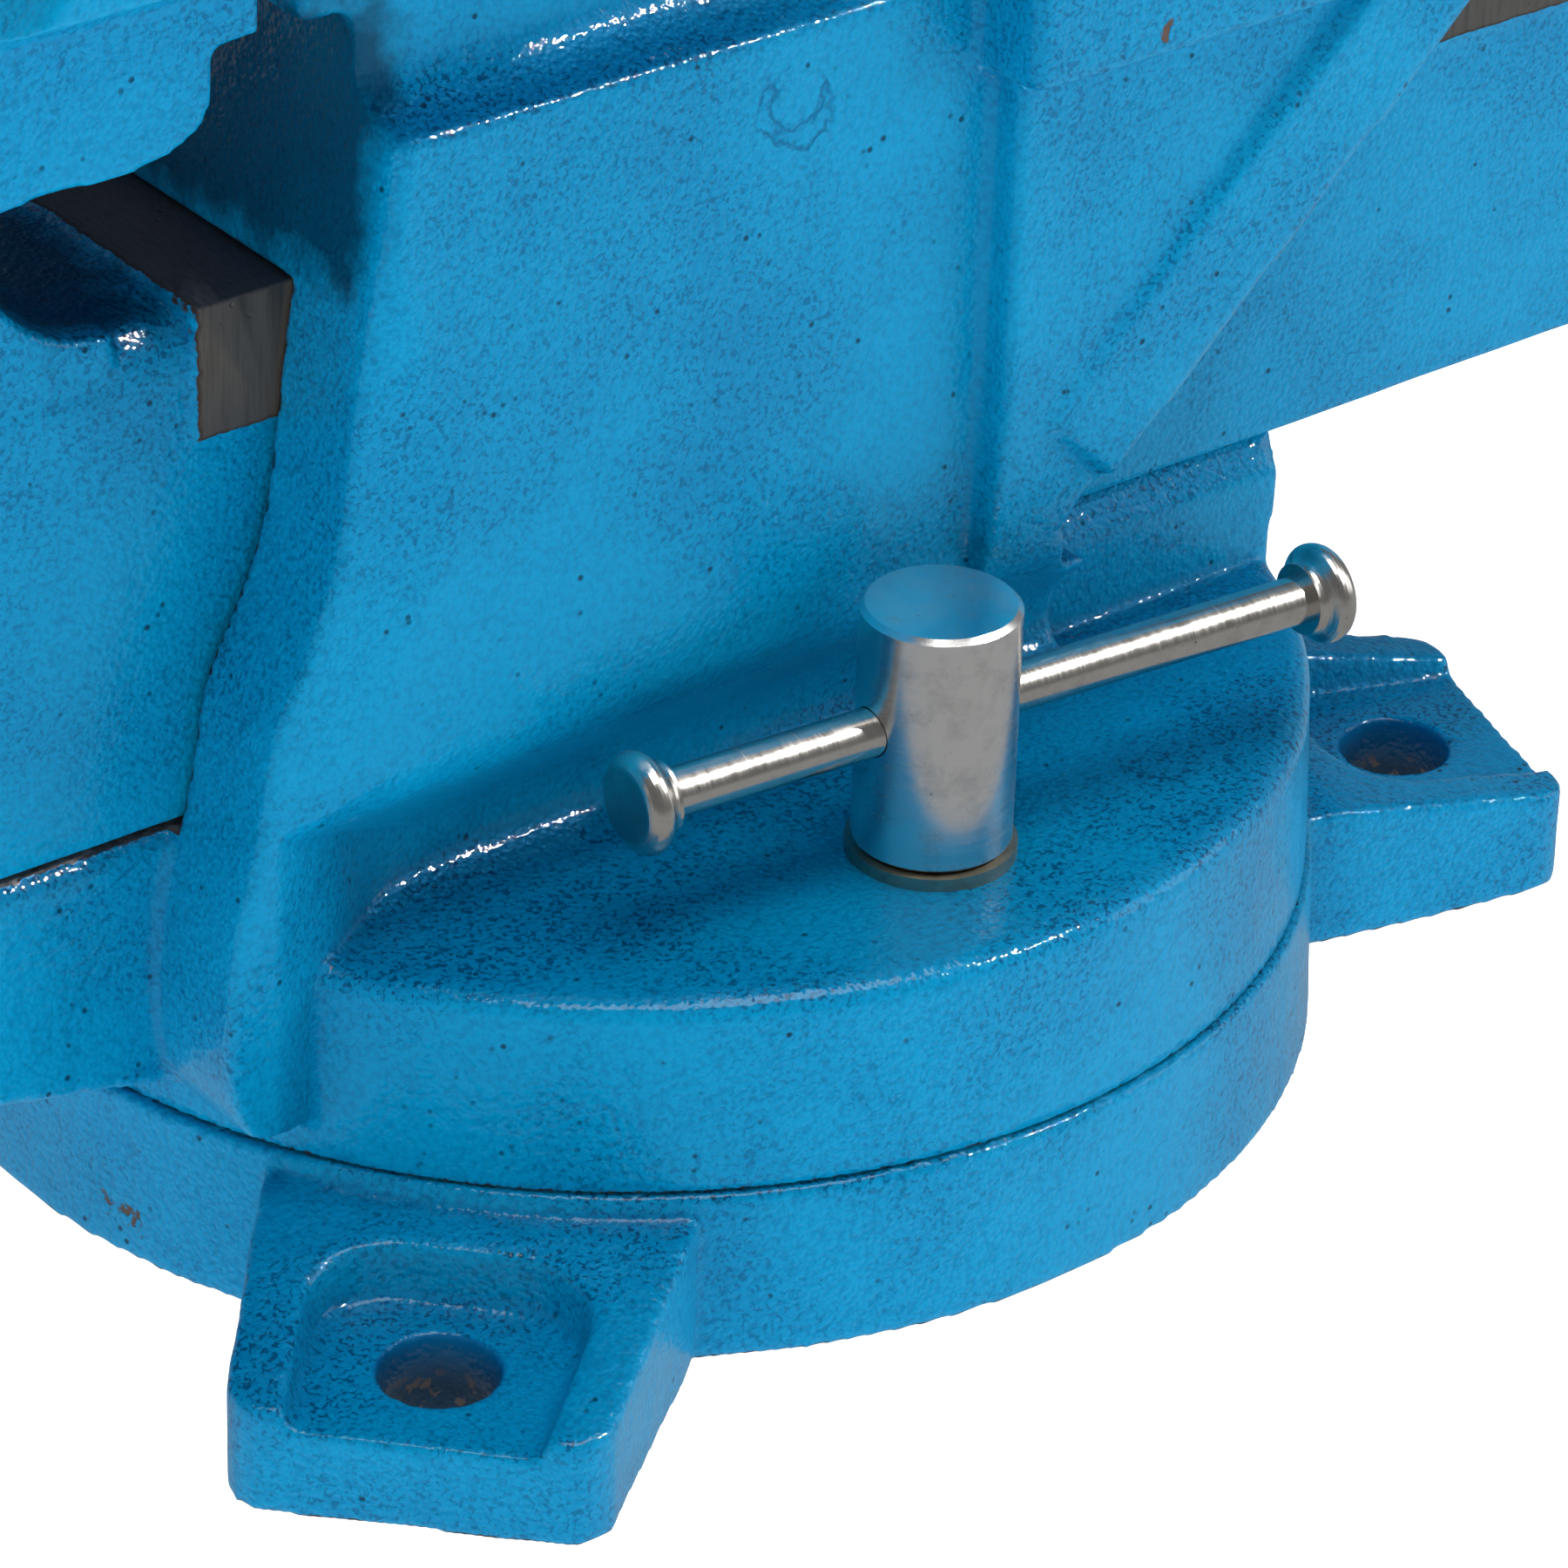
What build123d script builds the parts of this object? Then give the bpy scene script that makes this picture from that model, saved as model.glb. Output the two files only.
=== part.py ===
from build123d import *
import os

# Bench vise on a swivel base, 125 mm jaws. Millimetres, +Z up.
# Origin: swivel axis where it meets the bench. -X is the handle end, +X the anvil end.

# clearances
running_fit = 0.05
turntable_gap = 0.1
slide_gap = 0.25
slide_bed_gap = 0.6
handle_hole_gap = 0.1
lock_bar_gap = 0.1

# lead screw and the pieces on it
screw_radius = 11.0
screw_tip = 118.0
screw_head_length = 38.0
screw_head_wall = 8.0
bush_wall = 3.0
boss_wall = 11.0
boss_length = 8.0
thrust_washer_thick = 2.5
thrust_washer_edge = 1.5
collar_wall = 5.0
collar_length = 12.0
collar_pin_radius = 2.5
spring_turns = 3.5
spring_wire = 1.6
spring_length = 13.0

# nut that stands on the bed
nut_wall = 3.5
nut_front = -46.0
nut_length = 40.0
nut_foot_length = 20.0
nut_foot_height = 9.0
nut_screw_radius = 5.0
nut_screw_head = 8.2

# slide, an upside-down channel that carries the moving jaw
slide_wall = 11.0
slide_roof = 12.6
slide_side_room = 2.5
slide_top_room = 3.0
slide_skirt = 11.5
slide_paint_step = 0.5
slide_land_height = 15.1
slide_front_wall = 20.0
slide_rear = 150.0
slide_top_round = 7.0

# swivel base
base_height = 20.0
base_rim = 11.5
base_flare = 1.0
lug_count = 3
lug_turn = -17.0
lug_hole_radius = 6.5
lug_hole_out = 19.5
lug_end = 14.0
lug_width = 40.0
lug_root_width = 48.0
lug_rib = 5.5
lug_trough_start = 8.0
lug_corner = 5.0

# ring groove that carries the clamp nuts
groove_neck = 12.0
groove_width = 24.0
groove_floor = 4.0
groove_cover = 9.0
entry_radius = 15.0
entry_turn = 65.0

# turntable disc of the fixed body
disc_thick = 22.9
disc_inset = 0.7
disc_draft = 0.8
disc_round = 2.5
disc_pocket_inner = 22.0
disc_pocket_depth = 13.0

# pivot
pivot_radius = 8.0
pivot_head_radius = 13.0
pivot_head_height = 6.0
pivot_washer_radius = 15.0
pivot_washer_thick = 2.0

# swivel lock bolts and their small bars
lock_head_radius = 8.8
lock_head_length = 28.7
lock_shank_radius = 5.0
lock_washer_radius = 9.4
lock_washer_thick = 1.6
lock_nut_length = 20.0
lock_bar_radius = 2.75
lock_bar_half = 45.0
lock_bar_rise = 17.0
lock_knob_radius = 5.6
lock_knob_length = 4.6
near_bar_turn = -4.4
near_bar_shift = 6.8
far_bar_turn = -3.0
far_bar_shift = -6.0

# fixed body casting
bed_rise = 15.5
bed_rear = 75.5
bed_chamfer = 4.0
flank_wall = 15.5
flank_front_taper = 1.7
flank_bevel = 12.0
flank_rear = 26.2
undercut_rise = 23.0
pedestal_wall = 2.4
pedestal_rear = 38.5
step_x = 15.3
step_rise = 4.7
shoulder_rise = 20.2
neck_inset = 7.5
neck_front = -61.0
rib_rise = 2.6
rib_width = 13.0
rib_slope = 3.6
anvil_rear = 91.0
anvil_height = 33.2
anvil_overhang = 4.8
anvil_drop = 11.0
anvil_edge = 1.2

# jaws
jaw_half = 62.5
jaw_height = 42.3
jaw_lip = 6.7
jaw_lip_rise = 11.9
jaw_top_depth = 29.7
jaw_gap = 5.0
jaw_front_reach = 69.3
moving_lip_step = 5.3
moving_under_drop = 10.1

# hardened jaw plates
plate_thick = 9.0
plate_proud = 0.2
plate_height = 18.0
plate_top_step = 1.0
plate_screw_spacing = 80.0
plate_screw_radius = 4.0
plate_screw_head = 7.5
plate_screw_head_depth = 4.5
plate_screw_length = 22.0

# handle bar through the screw head
handle_radius = 6.0
handle_half = 98.0
handle_knob_radius = 10.5
handle_knob_length = 15.0

# widths worked out from the ones above
bush_radius = screw_radius + bush_wall
boss_radius = bush_radius + boss_wall
screw_head_radius = screw_radius + screw_head_wall
collar_radius = screw_radius + collar_wall
spring_radius = collar_radius - spring_wire + 0.1
nut_half = screw_radius + nut_wall
slide_inner_half = nut_half + slide_side_room
slide_half = slide_inner_half + slide_wall
channel_half = slide_half + slide_gap
bed_half = slide_half
pedestal_half = slide_half + pedestal_wall
flank_half = slide_half + flank_wall
flank_front_half = flank_half - flank_front_taper
neck_half = flank_half - neck_inset
anvil_half = flank_half + step_rise + anvil_overhang
lock_circle = flank_half + step_rise + lock_head_radius
groove_inner = lock_circle - groove_width / 2
groove_outer = lock_circle + groove_width / 2
base_radius = groove_outer + base_rim
disc_radius = base_radius - disc_inset
disc_pocket_outer = groove_inner - 1.0
lug_hole_circle = base_radius + lug_hole_out
lug_reach = lug_hole_circle + lug_end

# heights worked out from the ones above
groove_roof = base_height - groove_cover
lug_rib_inner = base_height - 2.5
lug_rib_outer = base_height - 7.5
lug_floor = base_height - 9.5
disc_bottom = base_height + turntable_gap
disc_top = disc_bottom + disc_thick
pivot_thread_depth = disc_thick - 4.9
lock_head_bottom = disc_top + lock_washer_thick + turntable_gap
lock_head_top = lock_head_bottom + lock_head_length
lock_bar_z = disc_top + lock_bar_rise
undercut_z = disc_top + undercut_rise
slide_bottom = disc_top + bed_rise
bed_top = slide_bottom - slide_bed_gap
screw_z = slide_bottom + slide_skirt + collar_radius
slide_ceiling = screw_z + collar_radius + slide_top_room
slide_top = slide_ceiling + slide_roof
slide_painted_top = slide_top - slide_paint_step
slide_land_bottom = slide_top - slide_land_height
channel_top = slide_top + slide_gap
shoulder_z = slide_top + shoulder_rise
anvil_bottom = shoulder_z - anvil_drop
anvil_top = anvil_bottom + anvil_height
jaw_lip_bottom = shoulder_z + jaw_lip_rise
moving_under = jaw_lip_bottom - moving_under_drop
jaw_top = jaw_lip_bottom + jaw_height
plate_top = jaw_top - plate_top_step
plate_bottom = plate_top - plate_height
plate_mid = plate_bottom + plate_height / 2
jaw_flare_low = jaw_lip_bottom + 6.3
jaw_flare_high = plate_bottom - 2.0

# lengths worked out from the ones above
foot_front = -disc_radius - 1.2
fixed_face = neck_front - jaw_lip
fixed_back_top = fixed_face + jaw_top_depth
anvil_front = step_x - 2.3
knee_x = flank_rear + 3.2
knee_z = slide_bottom + 14.7
moving_face = fixed_face - jaw_gap
moving_back_top = moving_face - jaw_top_depth + 0.4
land_front = moving_face - 2.1
slide_front = moving_face - jaw_front_reach
bed_front = slide_front + 14.0
wall_inside = slide_front + slide_front_wall
boss_face = slide_front - boss_length
head_rear = boss_face - turntable_gap - thrust_washer_thick
head_front = head_rear - screw_head_length
handle_x = head_front + screw_head_length * 0.42
collar_start = wall_inside + spring_length + 0.4
collar_mid = collar_start + collar_length / 2
nut_end = nut_front + nut_length
nut_screw_x = nut_end + nut_foot_length / 2
fixed_working_face = fixed_face - plate_proud
moving_working_face = moving_face + plate_proud


def extrude_across(points, half_width):
    """Extrude a closed outline given as (x, z) pairs equally to both sides of Y = 0."""
    outline = Plane.XZ * make_face(Polyline(*points, close=True))
    return extrude(outline, half_width, both=True)


def extrude_along(points, start, end):
    """Extrude a closed half outline given as (y, z) pairs, mirrored in Y, from start to end in X."""
    mirrored = [(-y, z) for y, z in reversed(points)]
    outline = Plane.YZ * make_face(Polyline(*(points + mirrored), close=True))
    return extrude(Pos(start, 0, 0) * outline, end - start)


def box_between(x0, x1, y0, y1, z0, z1):
    """Box from its six limits."""
    centre = Pos((x0 + x1) / 2, (y0 + y1) / 2, (z0 + z1) / 2)
    return centre * Box(x1 - x0, y1 - y0, z1 - z0)


def upright(radius, z0, z1):
    """Cylinder about Z between two heights."""
    return Pos(0, 0, (z0 + z1) / 2) * Cylinder(radius, z1 - z0)


def lying(radius, x0, x1):
    """Cylinder about the lead screw axis between two X values."""
    return Pos((x0 + x1) / 2, 0, screw_z) * Rot(0, 90, 0) * Cylinder(radius, x1 - x0)


def ring(inner, outer, z0, z1):
    """Tube about Z."""
    return upright(outer, z0, z1) - upright(inner, z0 - 1, z1 + 1)


def smooth_points(points, steps=6):
    """Points along a smooth curve that passes through all the given ones."""
    curve = Spline(*[(a, b) for a, b in points])
    count = steps * (len(points) - 1)
    return [(curve.position_at(i / count).X, curve.position_at(i / count).Y) for i in range(count + 1)]


def between(shares, start, end):
    """Points given as shares of the way from a start corner to an end corner."""
    run = end[0] - start[0]
    rise = end[1] - start[1]
    return [(start[0] + run * along, start[1] + rise * up) for along, up in shares]


def base_lug():
    """One bolt-down lug pointing along +X, a trough with two sloping side ribs."""
    root = base_radius - 16
    plan = Polyline(
        (root, -lug_root_width / 2),
        (base_radius + 4, -lug_root_width / 2 + 1),
        (lug_reach, -lug_width / 2),
        (lug_reach, lug_width / 2),
        (base_radius + 4, lug_root_width / 2 - 1),
        (root, lug_root_width / 2),
        close=True,
    )
    face = make_face(plan)
    outer_corners = face.vertices().sort_by(Axis.X)[-2:]
    face = fillet(outer_corners, lug_corner)
    block = extrude(face, lug_rib_inner + 2)
    slope = extrude_across(
        [
            (root - 1, -1),
            (root - 1, lug_rib_inner),
            (base_radius + 2, lug_rib_inner),
            (lug_reach + 1, lug_rib_outer),
            (lug_reach + 1, -1),
        ],
        lug_root_width,
    )
    block = block & slope
    trough_half = lug_width / 2 - lug_rib
    trough_back = base_radius + lug_trough_start
    trough_outline = Polyline(
        (trough_back, -trough_half),
        (lug_reach + 5, -trough_half + 1.5),
        (lug_reach + 5, trough_half - 1.5),
        (trough_back, trough_half),
        close=True,
    )
    trough = make_face(trough_outline)
    back_corners = trough.vertices().sort_by(Axis.X)[:2]
    trough = fillet(back_corners, lug_corner + 3)
    trough_cut = extrude(Pos(0, 0, lug_floor) * trough, 20, taper=-14)
    hole = Pos(lug_hole_circle, 0, 0) * upright(lug_hole_radius, -2, lug_floor + 2)
    return block - trough_cut - hole


def swivel_base():
    """Round base with three lugs and a ring groove for the clamp nuts."""
    drum = Pos(0, 0, base_height / 2) * Cone(base_radius + base_flare, base_radius, base_height)
    for index in range(lug_count):
        drum += Rot(0, 0, lug_turn + index * 360 / lug_count) * base_lug()
    neck_inner = lock_circle - groove_neck / 2
    neck_outer = lock_circle + groove_neck / 2
    drum -= ring(neck_inner, neck_outer, groove_roof - 1, base_height + 1)
    drum -= ring(groove_inner, groove_outer, groove_floor, groove_roof)
    drum -= Rot(0, 0, entry_turn) * Pos(lock_circle, 0, 0) * upright(entry_radius, -2, groove_floor + 2)
    drum -= ring(disc_pocket_inner, groove_inner - 4, -1, groove_roof)
    drum -= upright(pivot_radius + running_fit, -1, base_height + 1)
    drum -= upright(pivot_washer_radius + 1, -1, pivot_head_height + pivot_washer_thick + 1)
    return drum


def turntable():
    """Round disc under the fixed body, with a softened upper rim."""
    disc = Cone(disc_radius, disc_radius - disc_draft, disc_top - disc_bottom)
    disc = Pos(0, 0, (disc_top + disc_bottom) / 2) * disc
    rim = disc.edges().filter_by(GeomType.CIRCLE).sort_by(Axis.Z)[-1]
    return fillet(rim, disc_round)


def front_edge():
    """Front outline of the fixed body seen from the side, from the shoulder down to the foot."""
    shoulder = (neck_front, shoulder_z + 4)
    upper = between(
        [
            (0.0, 0.0),
            (0.04, 0.1093),
            (0.13, 0.2409),
            (0.24, 0.4028),
            (0.33, 0.5142),
            (0.51, 0.6053),
            (0.68, 0.6761),
            (0.76, 0.7571),
            (0.86, 0.8482),
            (0.96, 0.9291),
        ],
        shoulder,
        (foot_front, disc_top),
    )
    foot = between(
        [
            (0.0, 0.131),
            (0.04, 0.524),
            (0.15, 0.7205),
        ],
        (foot_front, disc_top),
        (neck_front, disc_bottom),
    )
    return smooth_points(upper + foot)


def front_bevel(height):
    """How far the side face stays behind the front edge at a given height."""
    share = min(max((shoulder_z - 12.8 - height) / 25.0, 0.0), 1.0)
    return 1.0 + (flank_bevel - 1.0) * share


def front_blank():
    """Both walls ahead of the step before the lower part is narrowed, bevelled along the front."""
    edge = front_edge() + [(foot_front + 21, disc_bottom + 2)]
    rest = [(step_x, disc_bottom + 2), (step_x, shoulder_z + 4)]
    inner = Polyline(*edge, *rest, close=True)
    outer = Polyline(*[(x + front_bevel(z), z) for x, z in edge], *rest, close=True)
    blank = extrude(Plane.XZ * make_face(inner), flank_front_half, both=True)
    for sign in (-1, 1):
        inner_face = Plane.XZ.offset(-sign * flank_front_half) * make_face(inner)
        outer_face = Plane.XZ.offset(-sign * flank_half) * make_face(outer)
        blank += loft([inner_face, outer_face], ruled=True)
    return blank


def lower_outline(rise):
    """Half outline of a wall from the disc up: soft root, narrow pedestal, then out to the full width."""
    return smooth_points(
        [
            (pedestal_half + 6.0, disc_top - 0.8),
            (pedestal_half + 3.2, disc_top + 0.5),
            (pedestal_half + 0.9, disc_top + 2.0),
            (pedestal_half, disc_top + 4.2),
            (pedestal_half + 0.7, disc_top + 7.5),
            (pedestal_half + 3.4, disc_top + 11.0),
            (flank_half - 5.2, undercut_z - 7.6),
            (flank_half - 1.4 + rise * 0.15, undercut_z - 3.4),
            (flank_half + rise * 0.3, undercut_z),
        ]
    )


def leg_plan():
    """Widening of the pedestal into the two front legs, seen from above."""
    side = smooth_points(
        [
            (foot_front + 6.0, flank_front_half + 0.2),
            (foot_front + 11.5, flank_front_half - 2.0),
            (foot_front + 15.5, flank_front_half - 3.9),
            (foot_front + 19.5, flank_front_half - 6.4),
            (foot_front + 26.0, pedestal_half + 1.6),
            (foot_front + 34.0, pedestal_half + 0.4),
            (foot_front + 43.0, pedestal_half - 0.4),
        ]
    )
    far_side = [(x, -y) for x, y in reversed(side)]
    corner = flank_front_half + 0.5
    ahead = foot_front - 14
    plan = make_face(Polyline((ahead, -corner), (ahead, corner), *side, *far_side, close=True))
    return extrude(Pos(0, 0, disc_bottom + 1) * plan, undercut_z - disc_bottom)


def front_flank():
    """Both walls ahead of the step with shelf, undercut and front legs."""
    shelf = smooth_points(
        [
            (flank_half, shoulder_z),
            (flank_half - 3.0, shoulder_z + 0.9),
            (neck_half + 1.6, shoulder_z + 2.6),
            (neck_half, shoulder_z + 5.5),
        ]
    )
    profile = lower_outline(0) + [(flank_half + 0.3, shoulder_z - 1.0)] + shelf
    keep = extrude_along(profile, foot_front - 14, step_x) + leg_plan()
    return front_blank() & keep


def rear_flank():
    """Raised walls behind the step, cut back at an angle under the anvil."""
    side = [
        (step_x, disc_top - 3),
        (pedestal_rear + 0.5, disc_top - 3),
        (pedestal_rear + 0.5, bed_top - 8.0),
        (pedestal_rear - 3.5, bed_top),
        (flank_rear + 3.0, slide_bottom + 4.5),
        (flank_rear + 0.6, slide_bottom + 10.5),
        (knee_x, knee_z),
        (anvil_rear - 5.5, anvil_bottom + 2.6),
        (anvil_rear - 4.0, anvil_bottom + 4),
        (step_x, anvil_bottom + 4),
    ]
    slab = extrude_across(side, anvil_half)
    rise = [
        (flank_half + step_rise * 0.62, undercut_z + 7.0),
        (flank_half + step_rise, undercut_z + 22.0),
        (flank_half + step_rise, anvil_bottom + 4),
    ]
    walls = slab & extrude_along(lower_outline(step_rise) + rise, step_x - 2, anvil_rear)
    root = [point for point in lower_outline(0) if point[1] < bed_top]
    return walls + extrude_along(root, step_x - 2, pedestal_rear)


def diagonal_rib():
    """Raised band along the sloping rear edge of each wall, growing out of the flank."""
    wall = flank_half + step_rise
    run = anvil_rear - 5.5 - knee_x
    climb = anvil_bottom + 2.6 - knee_z

    def section(share, rise):
        start = (knee_x + run * share, 0, knee_z + climb * share)
        where = Plane(origin=start, x_dir=(-climb, 0, run), z_dir=(run, 0, climb))
        outline = Polyline(
            (0, wall - 2),
            (rib_width + rib_slope, wall - 2),
            (rib_width, wall + rise),
            (0, wall + rise),
            close=True,
        )
        return where * make_face(outline)

    rib = loft([section(0.032, 0.2), section(0.955, rib_rise * 1.25)], ruled=True)
    return rib + mirror(rib, about=Plane.XZ)


def anvil():
    """Square block with a flat top behind the jaw."""
    block = box_between(anvil_front, anvil_rear, -anvil_half, anvil_half, anvil_bottom, anvil_top)
    corners = block.edges().filter_by(Axis.Z)
    block = fillet(corners, 1.8)
    block = chamfer(block.faces().sort_by(Axis.Z)[-1].edges(), anvil_edge)
    lower = block.faces().sort_by(Axis.Z)[0].edges().filter_by(Axis.X)
    return chamfer(lower, 1.0)


def jaw_width_profile(low):
    """Half outline of a jaw seen from the front: narrow neck, flared to full width."""
    flare = smooth_points(
        [
            (neck_half, jaw_flare_low),
            (neck_half + 3.5, jaw_flare_low + 4.0),
            (jaw_half - 12.0, jaw_flare_high - 5.0),
            (jaw_half, jaw_flare_high),
        ]
    )
    top = [(jaw_half, jaw_top - 2.0), (jaw_half - 2.0, jaw_top)]
    return [(neck_half, low)] + flare + top


def fixed_jaw_block():
    """Neck and head of the fixed jaw with its sloping back."""
    rear = anvil_front + anvil_edge
    back = between(
        [
            (0.0, 0.0),
            (0.1186, 0.25),
            (0.3051, 0.5625),
            (0.5763, 0.8281),
            (1.0, 1.0),
        ],
        (fixed_back_top, jaw_top),
        (rear, anvil_top),
    )
    side = [
        (neck_front, shoulder_z - 6),
        (neck_front, jaw_lip_bottom - 1.5),
        (neck_front - 1.5, jaw_lip_bottom),
        (fixed_face, jaw_lip_bottom),
        (fixed_face, jaw_top - 1.0),
        (fixed_face + 1.0, jaw_top),
    ]
    slab = extrude_across(side + smooth_points(back) + [(rear, shoulder_z - 6)], jaw_half + 5)
    return slab & extrude_along(jaw_width_profile(shoulder_z - 6), fixed_face - 5, rear + 1)


def bed():
    """Floor of the channel that the slide runs on, long at the front like a keel."""
    under = smooth_points(
        [
            (bed_front, bed_top - 7),
            (bed_front + 4.5, disc_bottom + 21.9),
            (bed_front + 14.0, disc_bottom + 16.1),
            (bed_front + 27.0, disc_bottom + 11.9),
            (bed_front + 47.0, disc_bottom + 7.5),
            (bed_front + 58.0, disc_bottom + 3.9),
        ]
    )
    rear = [(pedestal_rear + 1.5, disc_bottom + 3.9), (bed_rear - 2, disc_top - 4), (bed_rear, bed_top)]
    slab = extrude_across([(bed_front, bed_top)] + under + rear, bed_half + 5)
    profile = [
        (bed_half + 0.4, disc_bottom + 1),
        (bed_half, bed_top - 1.5),
        (bed_half - 1.5, bed_top),
    ]
    keel = slab & extrude_along(profile, bed_front - 1, bed_rear + 1)
    for sign in (-1, 1):
        notch = Polyline(
            (sign * (bed_half + 5), bed_top + 1),
            (sign * (bed_half + 5), bed_top - bed_chamfer),
            (sign * bed_half, bed_top - bed_chamfer),
            (sign * (bed_half - bed_chamfer), bed_top + 1),
            close=True,
        )
        keel -= extrude(Pos(pedestal_rear - 6, 0, 0) * (Plane.YZ * make_face(notch)), bed_rear)
    return keel


def plate_screw_places():
    """Y positions of the two screws of a jaw plate."""
    return [-plate_screw_spacing / 2, plate_screw_spacing / 2]


def facing_front(radius, x0, x1, y, z):
    """Cylinder about X at a given Y and Z."""
    return Pos((x0 + x1) / 2, y, z) * Rot(0, 90, 0) * Cylinder(radius, x1 - x0)


def fixed_jaw_body():
    """Main casting: turntable disc, walls, anvil, fixed jaw and slide bed."""
    body = turntable()
    body += front_flank()
    body += rear_flank()
    body += diagonal_rib()
    body += anvil()
    body += fixed_jaw_block()
    body += bed()
    front = foot_front - 20
    body -= box_between(front, anvil_rear + 5, -channel_half, channel_half, bed_top, channel_top)
    body -= ring(disc_pocket_inner, disc_pocket_outer, disc_bottom - 1, disc_bottom + disc_pocket_depth)
    body -= upright(pivot_radius, disc_bottom - 1, disc_bottom + pivot_thread_depth)
    for sign in (-1, 1):
        hole = upright(lock_shank_radius + running_fit, disc_bottom - 1, disc_top + 1)
        body -= Pos(0, sign * lock_circle, 0) * hole
    body -= Pos(nut_screw_x, 0, 0) * upright(nut_screw_radius, bed_top - 16, bed_top + 1)
    seat = fixed_working_face + plate_thick
    body -= box_between(fixed_face - 1, seat, -jaw_half - 1, jaw_half + 1, plate_bottom, plate_top)
    for y in plate_screw_places():
        hole_end = fixed_working_face + plate_screw_length
        body -= facing_front(plate_screw_radius, seat - 1, hole_end, y, plate_mid)
    return body


def jaw_plate(front, inward):
    """Hard plate with its working face at front, thickness going inward, two counterbored holes."""
    rear = front + inward * plate_thick
    low = min(front, rear)
    high = max(front, rear)
    plate = box_between(low, high, -jaw_half, jaw_half, plate_bottom, plate_top)
    plate = chamfer(plate.edges().filter_by(Axis.X), 0.8)
    bore_ends = sorted((front - inward, front + inward * plate_screw_head_depth))
    for y in plate_screw_places():
        plate -= facing_front(plate_screw_radius, low - 1, high + 1, y, plate_mid)
        plate -= facing_front(plate_screw_head, bore_ends[0], bore_ends[1], y, plate_mid)
    return plate


def plate_screws(front, inward):
    """Two cap screws of a jaw plate, heads sunk below the working face."""
    seat = front + inward * plate_screw_head_depth
    top = front + inward * 0.8
    tip = front + inward * plate_screw_length
    socket_end = top + inward * 2.6
    hexagon = Plane.YZ * make_face(RegularPolygon(3.4, 6).edges())
    pieces = []
    for y in plate_screw_places():
        head = facing_front(plate_screw_head - 0.1, min(seat, top), max(seat, top), y, plate_mid)
        socket = extrude(Pos(min(top, socket_end), y, plate_mid) * hexagon, 2.6)
        shank = facing_front(plate_screw_radius, min(seat, tip), max(seat, tip), y, plate_mid)
        pieces.append(head + shank - socket)
    return Compound(pieces)


def moving_jaw_neck():
    """Neck that rises from the slide to the head of the moving jaw."""
    back = smooth_points(
        [
            (moving_face - 11.3, slide_painted_top - 0.2),
            (moving_face - 19.3, slide_painted_top + 1.8),
            (moving_face - 24.8, slide_painted_top + 7.0),
            (moving_face - 26.8, slide_painted_top + 14.0),
            (moving_face - 27.3, moving_under + 4.0),
        ]
    )
    front = [
        (slide_front + 14.0, moving_under + 4.0),
        (slide_front, slide_top + 2.4),
        (slide_front, slide_top - 17.6),
    ]
    side = [(moving_face - 11.3, slide_top - 17.6)] + back + front
    return extrude_across(side, slide_half - slide_paint_step - 0.4)


def moving_jaw_head():
    """Flared head of the moving jaw with its hollowed underside and sloping front."""
    lip = moving_face - moving_lip_step
    under = smooth_points(
        [
            (lip, moving_under + 6.0),
            (lip - 1.9, moving_under + 1.9),
            (lip - 6.0, moving_under),
            (moving_face - 25.3, moving_under - 0.3),
            (moving_face - 39.3, moving_under - 4.0),
            (slide_front + 16.0, slide_top + 8.4),
            (slide_front + 8.0, slide_top - 5.6),
            (slide_front, slide_top - 13.6),
        ]
    )
    front = smooth_points(
        [
            (slide_front, slide_top + 10.4),
            (slide_front + 4.0, slide_top + 25.4),
            (slide_front + 14.0, jaw_top - 34.0),
            (slide_front + 28.0, jaw_top - 20.0),
            (slide_front + 36.0, jaw_top - 8.0),
            (moving_back_top, jaw_top),
        ]
    )
    top = [(moving_face - 1.0, jaw_top), (moving_face, jaw_top - 1.0)]
    side = [(moving_face, jaw_lip_bottom + 0.6), (lip, jaw_lip_bottom)] + under + front + top
    slab = extrude_across(side, jaw_half + 5)
    return slab & extrude_along(jaw_width_profile(slide_top - 22.6), slide_front - 1, moving_face + 1)


def slide_outside():
    """Outside of the slide: bare lands at the rear, painted step and rounded top at the front."""
    upper = box_between(land_front, slide_rear, -slide_half, slide_half, slide_land_bottom, slide_top)
    low_half = slide_half - slide_paint_step
    overlap_z = slide_land_bottom + 1
    lower = box_between(slide_front, slide_rear, -low_half, low_half, slide_bottom, overlap_z)
    painted = [
        (low_half, slide_bottom + 10),
        (low_half, slide_painted_top - slide_top_round),
        (low_half - 0.9, slide_painted_top - slide_top_round * 0.55),
        (low_half - slide_top_round * 0.4, slide_painted_top - slide_top_round * 0.2),
        (low_half - slide_top_round, slide_painted_top),
    ]
    return upper + lower + extrude_along(painted, slide_front, land_front + 1)


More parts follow.
